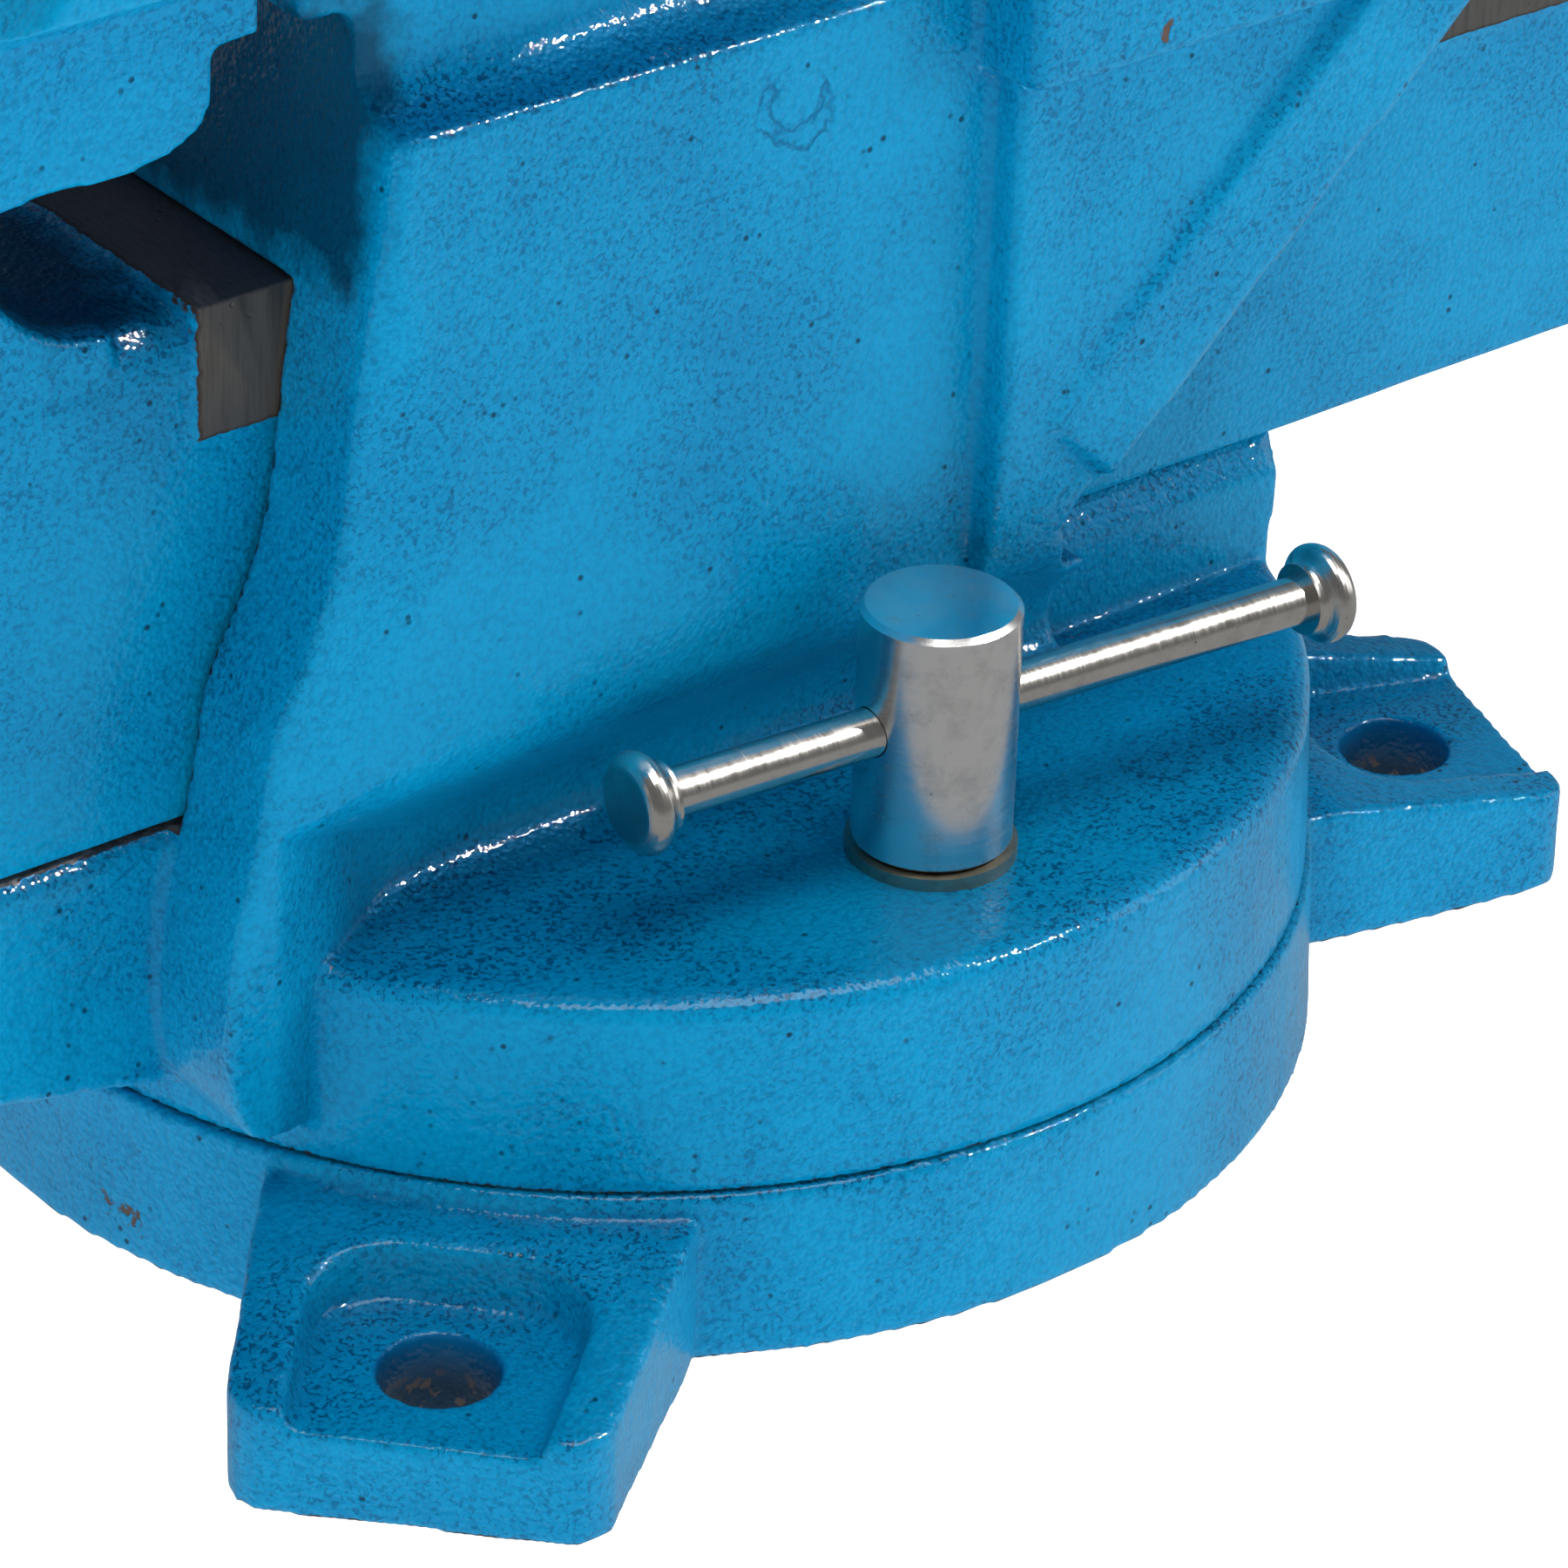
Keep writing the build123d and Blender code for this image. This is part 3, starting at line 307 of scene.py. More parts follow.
    # bare metal: milled lands, and chips gone brown
    rough = addNode(tree, "ShaderNodeMapRange", {
        "Value": ragged, "From Min": 0.3, "From Max": 0.7, "To Min": -0.22 * mm, "To Max": 0.22 * mm
    }).outputs[0]
    bareGap = nearest(tree, [boxDistance(tree, place, low, high) for low, high in bareBoxes])
    bareGap = addNode(tree, "ShaderNodeMath", {0: bareGap, 1: rough}, operation="ADD").outputs[0]
    bare = addNode(tree, "ShaderNodeMapRange", {
        "Value": bareGap, "From Min": -0.08 * mm, "From Max": 0.08 * mm, "To Min": 1.0, "To Max": 0.0
    }).outputs[0]
    rim = addNode(tree, "ShaderNodeMapRange", {
        "Value": addNode(tree, "ShaderNodeMath", {0: bareGap}, operation="ABSOLUTE").outputs[0],
        "From Min": 0.1 * mm, "From Max": 0.5 * mm, "To Min": 0.85, "To Max": 0.0}).outputs[0]
    cuts = addNode(tree, "ShaderNodeMapping", {"Vector": place, "Scale": (1.0, 0.25, 0.06)}).outputs[0]
    cutMarks = addNode(tree, "ShaderNodeTexNoise",
                       {"Vector": cuts, "Scale": 1 / (bareIron["cutMm"] * mm), "Detail": 3.0}).outputs["Fac"]
    # upward bare faces take the top tone named by landTop; on the slide's lands that is painted shade
    iron = addNode(tree, "ShaderNodeMix", {
        0: addNode(tree, "ShaderNodeMapRange", {
            "Value": upward, "From Min": 0.5, "From Max": 0.9}).outputs[0],
        6: hexColor(bareIron["side"]), 7: hexColor(bareIron[landTop])}, data_type="RGBA").outputs[2]
    iron = addNode(tree, "ShaderNodeMix", {
        0: addNode(tree, "ShaderNodeMapRange", {
            "Value": cutMarks, "From Min": 0.45, "From Max": 0.7, "To Min": 0.0, "To Max": 0.4
        }).outputs[0],
        6: iron, 7: hexColor(bareIron["cutDark"])}, data_type="RGBA").outputs[2]
    iron = addNode(tree, "ShaderNodeMix", {
        0: rim, 6: iron, 7: hexColor(bareIron["edge"])}, data_type="RGBA").outputs[2]
    surface = addNode(tree, "ShaderNodeMix", {0: bare, 6: paint, 7: iron}, data_type="RGBA").outputs[2]
    chipGap = nearest(tree, [boxDistance(tree, place, low, high) for low, high in chips])
    chipGap = addNode(tree, "ShaderNodeMath", {
        0: chipGap,
        1: addNode(tree, "ShaderNodeMapRange", {
            "Value": ragged, "From Min": 0.35, "From Max": 0.65, "To Min": -0.8 * mm, "To Max": 0.8 * mm
        }).outputs[0]}, operation="ADD").outputs[0]
    chipped = addNode(tree, "ShaderNodeMapRange", {
        "Value": chipGap, "From Min": -0.2 * mm, "From Max": 0.25 * mm, "To Min": 1.0, "To Max": 0.0
    }).outputs[0]
    surface = addNode(tree, "ShaderNodeMix", {
        0: chipped, 6: surface, 7: hexColor(enamel["rust"])}, data_type="RGBA").outputs[2]
    link = tree.links.new
    link(surface, shader.inputs["Base Color"])
    link(
        addNode(tree, "ShaderNodeMapRange", {
            "Value": bare, "From Min": 0.0, "From Max": 1.0, "To Min": 0.0, "To Max": 0.5}).outputs[0],
        shader.inputs["Metallic"])
    exposed = addNode(tree, "ShaderNodeMath", {0: bare, 1: chipped}, operation="MAXIMUM").outputs[0]
    gloss = addNode(tree, "ShaderNodeMapRange", {
        "Value": grain, "From Min": 0.3, "From Max": 0.7, "To Min": enamel["roughness"] - 0.05,
        "To Max": enamel["roughness"] + 0.08}).outputs[0]
    covered = addNode(tree, "ShaderNodeMapRange", {
        "Value": exposed, "From Min": 0.0, "From Max": 1.0, "To Min": enamel["coat"], "To Max": 0.0
    }).outputs[0]
    link(covered, shader.inputs["Coat Weight"])
    dull = addNode(tree, "ShaderNodeMix", {
        0: exposed, 2: gloss,
        3: addNode(tree, "ShaderNodeMapRange", {
            "Value": cutMarks, "From Min": 0.3, "From Max": 0.7, "To Min": 0.38, "To Max": 0.55
        }).outputs[0]}).outputs[0]
    link(dull, shader.inputs["Roughness"])

    # relief: grain and waves under the paint, fine cuts on the bare lands
    painted = addNode(tree, "ShaderNodeMapRange", {
        "Value": exposed, "From Min": 0.0, "From Max": 1.0, "To Min": 1.0, "To Max": 0.0}).outputs[0]
    skin = addNode(tree, "ShaderNodeMath", {0: grain, 1: lumps}, operation="SUBTRACT").outputs[0]
    skin = addNode(tree, "ShaderNodeMath", {0: skin, 1: painted}, operation="MULTIPLY").outputs[0]
    normal = addNode(tree, "ShaderNodeBump", {"Height": skin, "Strength": 0.9,
                     "Distance": enamel["grainDepthMm"] * mm}).outputs[0]
    normal = addNode(tree, "ShaderNodeBump", {"Height": wave, "Strength": 0.5,
                     "Distance": enamel["waveDepthMm"] * mm, "Normal": normal}).outputs[0]
    sunk = addNode(tree, "ShaderNodeMath", {0: pits, 1: chipped}, operation="MAXIMUM").outputs[0]
    if scar is not None:
        sunk = addNode(tree, "ShaderNodeMath", {0: sunk, 1: scar}, operation="MAXIMUM").outputs[0]
    normal = addNode(tree, "ShaderNodeBump", {"Height": sunk, "Strength": 0.8, "Distance": 0.25 * mm,
                     "Normal": normal}, invert=True).outputs[0]
    normal = addNode(tree, "ShaderNodeBump", {
        "Height": addNode(tree, "ShaderNodeMath", {
            0: cutMarks, 1: bare}, operation="MULTIPLY").outputs[0],
        "Strength": 0.35, "Distance": 0.05 * mm, "Normal": normal}).outputs[0]
    link(normal, shader.inputs["Normal"])
    run = addNode(tree, "ShaderNodeTexNoise", {
        "Vector": moved, "Scale": 1 / (enamel["runMm"] * mm), "Detail": 2.5, "Roughness": 0.55
    }).outputs["Fac"]
    coatNormal = addNode(tree, "ShaderNodeBump", {
        "Height": run, "Strength": 0.9, "Distance": enamel["runDepthMm"] * mm}).outputs[0]
    coatNormal = addNode(tree, "ShaderNodeBump", {
        "Height": skin, "Strength": 0.28, "Distance": enamel["grainDepthMm"] * mm, "Normal": coatNormal
    }).outputs[0]
    link(coatNormal, shader.inputs["Coat Normal"])
    return material


def castCopy(name, node, settings, crisp=None):
    # no edge of a casting is sharp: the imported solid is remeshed, its edges worn round and its faces
    # made slightly uneven. crisp(points) is 1 where a machined fit keeps its edge
    work = bpy.data.objects.new(name + "Work", nodes[node].data.copy())
    bpy.context.scene.collection.objects.link(work)
    remesh = work.modifiers.new("remesh", "REMESH")
    remesh.mode = "VOXEL"
    remesh.voxel_size = settings["voxelMm"] * mm
    fine = bpy.data.meshes.new_from_object(work.evaluated_get(bpy.context.evaluated_depsgraph_get()))
    count = len(fine.vertices)
    points = np.zeros(count * 3)
    fine.vertices.foreach_get("co", points)
    points = points.reshape(-1, 3)
    ends = np.zeros(len(fine.edges) * 2, int)
    fine.edges.foreach_get("vertices", ends)
    ends = ends.reshape(-1, 2)
    surface = BVHTree.FromObject(nodes[node], bpy.context.evaluated_depsgraph_get())
    points = np.array([surface.find_nearest(Vector(point))[0] for point in points])
    degree = np.bincount(ends.ravel(), minlength=count)[:, None]
    freedom = np.ones((count, 1)) if crisp is None else 1 - crisp(points)[:, None]
    for step in range(settings["passes"]):
        total = np.zeros_like(points)
        for axis in range(3):
            total[:, axis] = (np.bincount(ends[:, 0], points[ends[:, 1], axis], count)
                              + np.bincount(ends[:, 1], points[ends[:, 0], axis], count))
        points += (total / degree - points) * 0.5 * np.maximum(freedom, 0.25 if step < 2 else 0.0)
    fine.vertices.foreach_set("co", points.ravel())
    fine.update()
    normals = np.zeros(count * 3)
    fine.vertices.foreach_get("normal", normals)
    normals = normals.reshape(-1, 3)
    rate = 1 / (settings["unevenMm"] * mm)
    height = np.array([noise.noise(Vector(p) * rate) + 0.5 * noise.noise(Vector(p) * rate * 2.3)
                       for p in points])
    points += normals * (height[:, None] * settings["unevenDepthMm"] * mm * freedom)
    if crisp is not None:
        for index in np.flatnonzero(freedom[:, 0] < 0.4):
            points[index] = surface.find_nearest(Vector(points[index]))[0]
    fine.vertices.foreach_set("co", points.ravel())
    work.modifiers.clear()
    work.data = fine
    thin = work.modifiers.new("thin", "DECIMATE")
    thin.ratio = min(1.0, settings["faces"] / (2 * len(fine.polygons)))
    done = bpy.data.meshes.new_from_object(work.evaluated_get(bpy.context.evaluated_depsgraph_get()))
    bpy.data.objects.remove(work)
    done.name = name
    done.polygons.foreach_set("use_smooth", [True] * len(done.polygons))
    print(name, count, "points,", len(done.polygons), "faces")
    return done


def fade(value, start, end):
    return np.clip((value - start) / (end - start), 0, 1)


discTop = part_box("swivel_base")[1].z
print("seam at", round(discTop * 1000, 2), "mm")

baseCasting = {"voxelMm": 0.75, "passes": 3, "unevenMm": 11, "unevenDepthMm": 0.13, "faces": 150000}
bodyCasting = {"voxelMm": 0.8, "passes": 3, "unevenMm": 13, "unevenDepthMm": 0.15, "faces": 190000}
jawCasting = {"voxelMm": 0.8, "passes": 3, "unevenMm": 13, "unevenDepthMm": 0.12, "faces": 170000}


def crispSeam(points):
    radius = np.hypot(points[:, 0], points[:, 1])
    return (1 - fade(np.abs(points[:, 2] - discTop), 1.5 * mm, 3.5 * mm)) * (radius < 86 * mm)


def crispBody(points):
    channel = (np.abs(points[:, 1]) < 28.8 * mm) & (points[:, 2] > 57 * mm) & (points[:, 2] < 119 * mm)
    return np.maximum(crispSeam(points), channel * 0.9)


def crispJaw(points):
    land = (points[:, 0] > -0.076) & (points[:, 2] > 0.100) & (points[:, 2] < 0.1185)
    return land * 0.9


# boxes in millimetres, lowest corner and highest corner
basePlaces = {
    "bare": [((-120, -120, -2), (120, 120, 0.3))],                                # the face on the bench
    "chips": [((-93, -75, 15.5), (-89.5, -73, 17.5)), ((-79, -20, 4), (-76, -14, 6))],
    "holeTurns": (-17, 103, 223),                                                 # degrees
    "holeCircle": 100,                                                            # radius, from the axis
    "holeRadius": 6.6,
}
bodyPlaces = {
    "bare": [((-100, -28.6, 57.6), (120, 28.6, 118.1)),                           # the slide's channel
             ((14, -60, 159.7), (95, 60, 162)),                                   # the anvil's face
             ((-90, -90, 19), (90, 90, 20.4))],                                   # the turntable's underside
    "chips": [((30.5, -54, 129.2), (31.5, -52, 130.6))],
    "scars": [((-11.4, -43.5, 129.6), 4.2, 0.8, (-16.6, -46, 122), (-5.5, -41, 134.5))],
    "inShade": [((-75, -39.5, 119), (-56.5, 39.5, 152))],                          # painted shade round the channel's mouth
}
jawPlaces = {
    "bare": [((-74.8, -30, 102.5), (160, 30, 120))],                              # the slide's milled lands
    "chips": [((-104, -28.5, 99), (-100, -27.5, 100))],
    # painted shade over the slide's top, under the jaw's neck
    "inShade": [((-112, -25, 111), (-76, 25, 121))],
}
holes = []
for turn in basePlaces["holeTurns"]:
    turn = math.radians(turn)
    holes.append((basePlaces["holeCircle"] * math.cos(turn), basePlaces["holeCircle"] * math.sin(turn),
                  basePlaces["holeRadius"]))
basePaint = castEnamel("sandCastIronEnamelledBase", 0.11, basePlaces["bare"], basePlaces["chips"],
                       bores=holes)
bodyPaint = castEnamel("sandCastIronEnamelledBody", 0.37, bodyPlaces["bare"], bodyPlaces["chips"],
                       bodyPlaces["scars"], bodyPlaces["inShade"], landTop="anvil")
jawPaint = castEnamel("sandCastIronEnamelledJaw", 0.71, jawPlaces["bare"], jawPlaces["chips"],
                      shadeBoxes=jawPlaces["inShade"])
newPiece("swivelBaseCasting", castCopy("swivelBaseCasting", "swivel_base", baseCasting, crispSeam), "base",
         basePaint, "base_paint", "swivel_base")
newPiece("fixedBodyCasting", castCopy("fixedBodyCasting", "fixed_jaw_body", bodyCasting, crispBody),
         "vise_body", bodyPaint, "body_paint", "fixed_jaw_body")
newPiece("movingJawCasting", castCopy("movingJawCasting", "moving_jaw", jawCasting, crispJaw), "moving_jaw",
         jawPaint, "jaw_paint", "moving_jaw")
print("castings done")


# metals

def turnedMetal(name, color, roughness, lineMm, axis, depth=0.3, stain="#3a2f28", stainAmount=0.25):
    # turned or drawn steel: fine rings round the axis, light handling stains
    material, tree, shader, place = newMaterial(name, **{"Metallic": 1.0})
    stretch = {"x": (1.0, 0.05, 0.05), "y": (0.05, 1.0, 0.05), "z": (0.05, 0.05, 1.0)}[axis]
    lines = addNode(tree, "ShaderNodeMapping", {"Vector": place, "Scale": stretch}).outputs[0]
    rings = addNode(tree, "ShaderNodeTexNoise", {
        "Vector": lines, "Scale": 1 / (lineMm * mm), "Detail": 3.0}).outputs["Fac"]
    blotch = addNode(tree, "ShaderNodeTexNoise", {
        "Vector": place, "Scale": 1 / (3.5 * mm), "Detail": 5.0, "Roughness": 0.65}).outputs["Fac"]
    speck = addNode(tree, "ShaderNodeTexVoronoi", {
        "Vector": place, "Scale": 1 / (1.7 * mm)}).outputs["Distance"]
    speckMask = addNode(tree, "ShaderNodeMath", {
        0: addNode(tree, "ShaderNodeMapRange", {
            "Value": speck, "From Min": 0.05, "From Max": 0.12, "To Min": 1.0, "To Max": 0.0}).outputs[0],
        1: addNode(tree, "ShaderNodeMapRange", {
            "Value": blotch, "From Min": 0.5, "From Max": 0.6}).outputs[0]
    }, operation="MULTIPLY").outputs[0]
    tint = addNode(tree, "ShaderNodeMix", {
        0: addNode(tree, "ShaderNodeMapRange", {
            "Value": blotch, "From Min": 0.48, "From Max": 0.75, "To Min": 0.0, "To Max": stainAmount
        }).outputs[0],
        6: hexColor(color), 7: hexColor(stain)}, data_type="RGBA").outputs[2]
    tint = addNode(tree, "ShaderNodeMix", {
        0: addNode(tree, "ShaderNodeMapRange", {
            "Value": speckMask, "From Min": 0.0, "From Max": 1.0, "To Min": 0.0, "To Max": 0.6
        }).outputs[0],
        6: tint, 7: hexColor(stain)}, data_type="RGBA").outputs[2]
    tree.links.new(tint, shader.inputs["Base Color"])
    wear = addNode(tree, "ShaderNodeMath", {
        0: addNode(tree, "ShaderNodeMapRange", {
            "Value": rings, "From Min": 0.3, "From Max": 0.7, "To Min": roughness - 0.04,
            "To Max": roughness + 0.05}).outputs[0],
        1: addNode(tree, "ShaderNodeMapRange", {
            "Value": blotch, "From Min": 0.4, "From Max": 0.8, "To Min": 0.0, "To Max": 0.1}).outputs[0]
    }, operation="ADD").outputs[0]
    tree.links.new(wear, shader.inputs["Roughness"])
    normal = addNode(tree, "ShaderNodeBump", {
        "Height": rings, "Strength": depth, "Distance": 0.02 * mm}).outputs[0]
    tree.links.new(normal, shader.inputs["Normal"])
    return material


lockPlate = turnedMetal("nickelPlatedSteelPolished", "#f4f2ef", 0.2, 0.5, "z", 0.1)
lockBarPlate = turnedMetal("nickelPlatedSteelDrawn", "#d9d4cd", 0.18, 0.3, "x", 0.25)
handleSteel = turnedMetal("nickelPlatedSteelHandle", "#d9d5cf", 0.18, 0.35, "y", 0.3)
screwSteel = turnedMetal("carbonSteelTurnedOiled", "#8f8d8a", 0.26, 0.3, "x", 0.4)
plainSteel = turnedMetal("mildSteelTurned", "#85827d", 0.32, 0.4, "z", 0.4)
zincPlate = turnedMetal("zincPlatedSteelStamped", "#b3ad9c", 0.33, 0.4, "z", 0.2, stain="#5a4630",
                        stainAmount=0.5)
bronzeBush = turnedMetal("tinBronzeBored", "#a3773f", 0.3, 0.3, "x", 0.4)
springWire = turnedMetal("springSteelDrawn", "#6f6e70", 0.3, 0.4, "x", 0.3)
nutIron = turnedMetal("greyIronMilled", "#55524e", 0.48, 0.6, "x", 0.5)
blackScrew = turnedMetal("alloySteelBlackOxide", "#1b1b1d", 0.42, 0.4, "x", 0.3, stain="#3a2f28",
                         stainAmount=0.4)
jawSteel = turnedMetal("toolSteelHardenedGround", "#74726f", 0.34, 0.45, "y", 0.5)


def fineCopy(name, node, voxelMm, faces, shape):
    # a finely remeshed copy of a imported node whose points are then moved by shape(points)
    work = bpy.data.objects.new(name + "Work", nodes[node].data.copy())
    bpy.context.scene.collection.objects.link(work)
    remesh = work.modifiers.new("remesh", "REMESH")
    remesh.mode = "VOXEL"
    remesh.voxel_size = voxelMm * mm
    fine = bpy.data.meshes.new_from_object(work.evaluated_get(bpy.context.evaluated_depsgraph_get()))
    points = np.zeros(len(fine.vertices) * 3)
    fine.vertices.foreach_get("co", points)
    points = points.reshape(-1, 3)
    surface = BVHTree.FromObject(nodes[node], bpy.context.evaluated_depsgraph_get())
    points = np.array([surface.find_nearest(Vector(point))[0] for point in points])
    fine.vertices.foreach_set("co", shape(points).ravel())
    fine.update()
    work.modifiers.clear()
    work.data = fine
    thin = work.modifiers.new("thin", "DECIMATE")
    thin.ratio = min(1.0, faces / (2 * len(fine.polygons)))
    done = bpy.data.meshes.new_from_object(work.evaluated_get(bpy.context.evaluated_depsgraph_get()))
    bpy.data.objects.remove(work)
    done.name = name
    smoothByAngle(done, 32)
    print(name, len(points), "points,", len(done.polygons), "faces")
    return done


jawPlate = {
    "voxelMm": 0.42,
    "pitchMm": 3.2,
    "depthMm": 0.55,
    "flatShare": 0.45,            # of the pitch, left on top of each diamond
    "marginMm": 1.2,
    "holesMm": (-40, 40),         # across the jaw
    "holeClearMm": 6.5,
    "faces": 90000,
}
leadScrew = {
    "voxelMm": 0.6,
    "pitchMm": 5.0,
    "depthMm": 2.4,
    "crestShare": 0.35,
    "flankShare": 0.3,
    "startMm": -95,
    "plainEndMm": 4,
    "faces": 120000,
}


def diamondFace(node, side):
    # two sets of V grooves at 45 degrees across the gripping face, a plain margin round it
    low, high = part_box(node)
    face = high.x if side > 0 else low.x

    def shape(points):
        pitch = jawPlate["pitchMm"] * mm
        y, z = points[:, 1], points[:, 2] - (low.z + high.z) / 2
        first = np.abs((y + z) / pitch % 1 - 0.5) * 2
        second = np.abs((y - z) / pitch % 1 - 0.5) * 2
        groove = (np.maximum(first, second) - jawPlate["flatShare"]) / (1 - jawPlate["flatShare"])
        cut = np.clip(groove, 0, 1) * jawPlate["depthMm"] * mm
        edge = np.minimum(high.y - np.abs(y), (high.z - low.z) / 2 - np.abs(z))
        cut = cut * (edge > jawPlate["marginMm"] * mm)
        for hole in jawPlate["holesMm"]:
            cut = cut * (np.hypot(y - hole * mm, z) > jawPlate["holeClearMm"] * mm)
        onFace = np.abs(points[:, 0] - face) < 0.05 * mm
        points[:, 0] -= side * cut * onFace
        return points
    return shape


def threadShape(points):
    # a trapezoidal thread cut into the plain rod: flat crests, sloped flanks, flat roots
    low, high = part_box("lead_screw")
    axisZ = (low.z + high.z) / 2
    y, z = points[:, 1], points[:, 2] - axisZ
    radius = np.hypot(y, z)
    turn = np.arctan2(z, y) / (2 * math.pi)
    phase = np.abs((points[:, 0] / (leadScrew["pitchMm"] * mm) - turn) % 1 - 0.5) * 2
    deep = np.clip((phase - leadScrew["crestShare"]) / leadScrew["flankShare"], 0, 1)
    cut = deep * leadScrew["depthMm"] * mm
    start, stop = leadScrew["startMm"] * mm, high.x - leadScrew["plainEndMm"] * mm
    run = np.clip((points[:, 0] - start) / (3 * mm), 0, 1) * np.clip((stop - points[:, 0]) / (2 * mm), 0, 1)
    rod = (radius > 10.8 * mm) & (radius < 11.1 * mm)
    scale = 1 - cut * run * rod / np.maximum(radius, 1e-6)
    points[:, 1] = y * scale
    points[:, 2] = axisZ + z * scale
    return points


newPiece(
    "fixedJawPlateCut",
    fineCopy("fixedJawPlateCut", "fixed_jaw_plate", jawPlate["voxelMm"], jawPlate["faces"],
             diamondFace("fixed_jaw_plate", -1)),
    "vise_body",
    jawSteel,
    "plate_steel",
    "fixed_jaw_plate")
newPiece(
    "movingJawPlateCut",
    fineCopy("movingJawPlateCut", "moving_jaw_plate", jawPlate["voxelMm"], jawPlate["faces"],
             diamondFace("moving_jaw_plate", 1)),
    "moving_jaw",
    jawSteel,
    "plate_steel",
    "moving_jaw_plate")
newPiece("threadedLeadScrew",
         fineCopy("threadedLeadScrew", "lead_screw", leadScrew["voxelMm"], leadScrew["faces"], threadShape),
         "spindle", screwSteel, "screw_steel", "lead_screw")
print("plates and screw done")

nodeFinish = {
    "fixed_plate_screws": blackScrew,
    "moving_plate_screws": blackScrew, "spindle_nut": nutIron, "nut_screw": plainSteel,
    "pivot_bolt": plainSteel, "pivot_washer": plainSteel, "lock_washers": zincPlate, "clamp_nuts": plainSteel,
    "thrust_bush": bronzeBush, "thrust_washer": zincPlate,
    "return_spring": springWire, "retaining_collar": plainSteel, "collar_pin": plainSteel,
    "handle_rod": handleSteel, "handle_knobs": handleSteel, "lock_bolt_near": lockPlate,
    "lock_bolt_far": lockPlate, "lock_bar_near": lockBarPlate, "lock_bar_far": lockBarPlate,
    "lock_bar_knobs_near": lockBarPlate, "lock_bar_knobs_far": lockBarPlate,
}
for node, finish in nodeFinish.items():
    nodes[node].data.materials.clear()
    nodes[node].data.materials.append(finish)
    smoothByAngle(nodes[node].data, 28)
print("steel pieces done")

# stage, lights, camera

floorFinish = newMaterial("paperSweepMatt", **{
    "Base Color": hexColor("#d8d8d8"), "Roughness": 0.95, "Specular IOR Level": 0.1,
    "Emission Color": hexColor("#ffffff"), "Emission Strength": 1.15})[0]
reach = 6.0
floorMesh = bpy.data.meshes.new("studioFloor")
floorMesh.from_pydata([(-reach, -reach, 0), (reach, -reach, 0), (reach, reach, 0), (-reach, reach, 0)],
                      [], [(0, 1, 2, 3)])
floorPiece = bpy.data.objects.new("studioFloor", floorMesh)
floorMesh.materials.append(floorFinish)
floorPiece.location.z = -0.5 * mm
bpy.context.scene.collection.objects.link(floorPiece)
floorPiece.visible_glossy = False   # metal sees the room instead, so the paint keeps its colour

camera = bpy.data.objects.new("camera", bpy.data.cameras.new("camera"))
bpy.context.scene.collection.objects.link(camera)
bpy.context.scene.camera = camera
view = {
    "place": (-0.448, -0.5835, 0.4563),
    "ahead": (0.5434, 0.6695, -0.5065),
    "across": (0.816, -0.578, 0.002),
    "lensMm": 171.1,
    "sensorMm": 36.0,
}
ahead = Vector(view["ahead"]).normalized()
across = Vector(view["across"])
across = (across - across.dot(ahead) * ahead).normalized()
camera.matrix_world = (Matrix.Translation(view["place"])
                       @ Matrix((across, across.cross(ahead), -ahead)).transposed().to_4x4())
camera.data.sensor_width = view["sensorMm"]
camera.data.lens = view["lensMm"]
camera.data.clip_start = 0.01

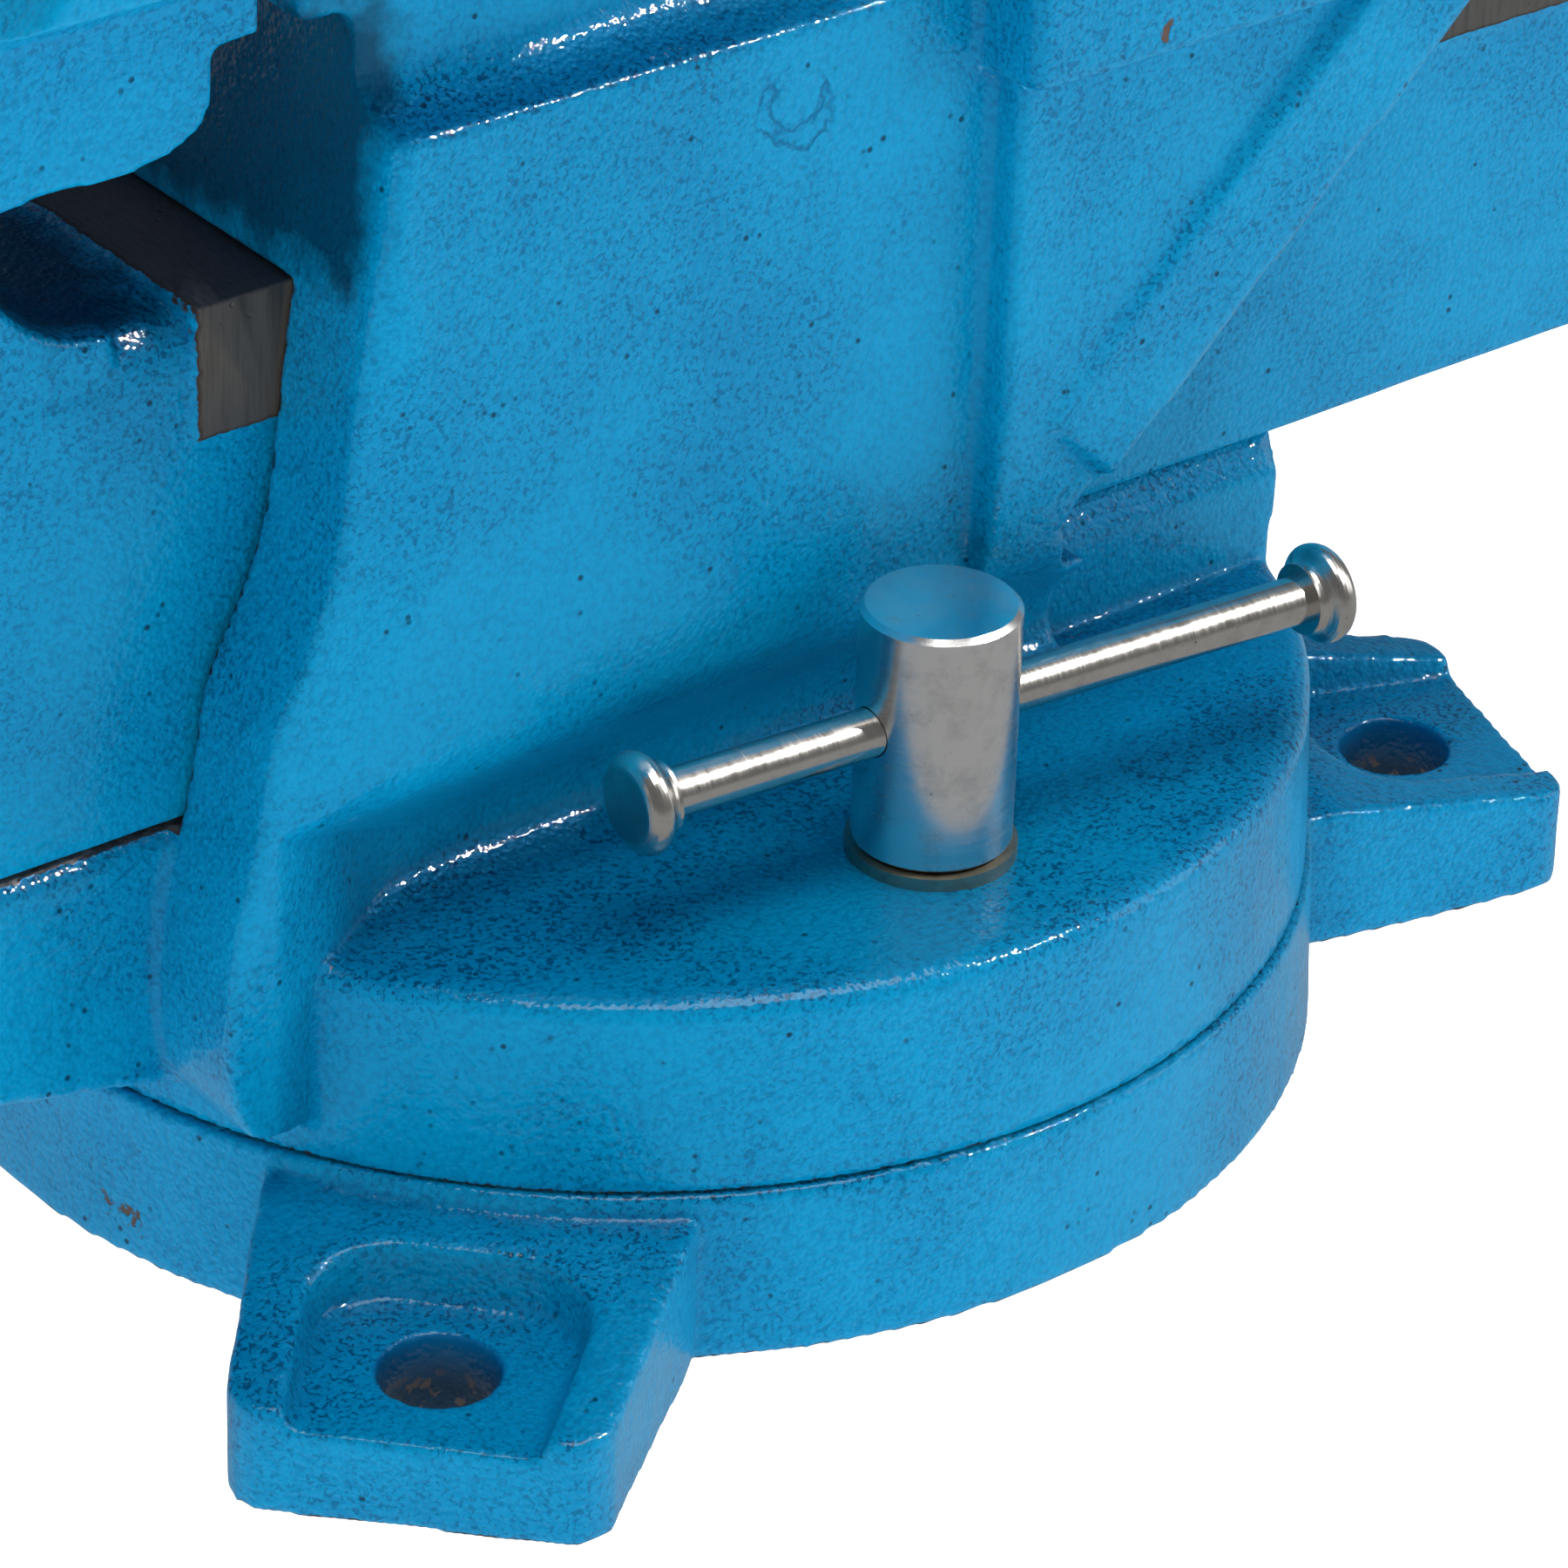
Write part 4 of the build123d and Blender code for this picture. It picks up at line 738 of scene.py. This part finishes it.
bpy.context.scene.view_settings.view_transform = "Standard"
world = bpy.data.worlds.new("studioRoom")
world.use_nodes = True
bpy.context.scene.world = world
room = {
    "below": 0.32,                # what polished metal sees under the horizon
    "above": 0.15,
    "window": 1.5,                # a bright window by the key light, for the metal
    "windowFrom": (0.85, -0.45, 0.30),
}
tree = world.node_tree
sky = addNode(tree, "ShaderNodeTexCoord").outputs["Generated"]
rise = addNode(tree, "ShaderNodeSeparateXYZ", {0: sky}).outputs["Z"]
level = addNode(tree, "ShaderNodeMapRange", {
    "Value": rise, "From Min": -0.12, "From Max": 0.1, "To Min": room["below"], "To Max": room["above"]
}).outputs[0]
facing = addNode(tree, "ShaderNodeVectorMath", {0: sky, 1: Vector(room["windowFrom"]).normalized()},
                 operation="DOT_PRODUCT").outputs["Value"]
level = addNode(tree, "ShaderNodeMath", {
    0: level,
    1: addNode(tree, "ShaderNodeMapRange", {
        "Value": facing, "From Min": 0.955, "From Max": 0.975, "To Min": 0.0, "To Max": room["window"]
    }).outputs[0]}, operation="ADD").outputs[0]
tree.links.new(level, tree.nodes["Background"].inputs["Strength"])
tree.nodes["Background"].inputs["Color"].default_value = hexColor("#fbfdff")

lampTarget = Vector((0, 0, 0.07))
# direction, distance, width, height, power, seen in reflections
lamps = {
    "keyPanel": ((0.85, -0.60, 0.13), 1.2, 0.5, 0.4, 4.1, False),
    "frontPanel": ((-0.80, -0.62, 0.14), 1.3, 0.7, 0.4, 4.6, False),
    "topPanel": ((0.0, -0.1, 1.0), 1.6, 1.2, 1.2, 20.0, True),
    "backPanel": ((0.1, 1.0, 0.35), 1.5, 0.9, 0.6, 5.5, False),
    "sparkLamp": ((0.495, -0.519, 0.697), 1.5, 0.06, 0.06, 30.0, True),
}
for name, (direction, distance, width, height, power, reflected) in lamps.items():
    data = bpy.data.lights.new(name, "AREA")
    data.shape = "RECTANGLE"
    data.size, data.size_y = width, height
    data.energy = power
    lamp = bpy.data.objects.new(name, data)
    lamp.visible_glossy = reflected
    if name == "sparkLamp":           # only makes the glints on the gloss, straight to the eye
        lamp.visible_diffuse = False
        data.cycles.max_bounces = 0
    direction = Vector(direction).normalized()
    lamp.location = lampTarget + direction * distance
    lamp.rotation_mode = "QUATERNION"
    lamp.rotation_quaternion = direction.to_track_quat("Z", "Y")
    bpy.context.scene.collection.objects.link(lamp)
print("stage done")
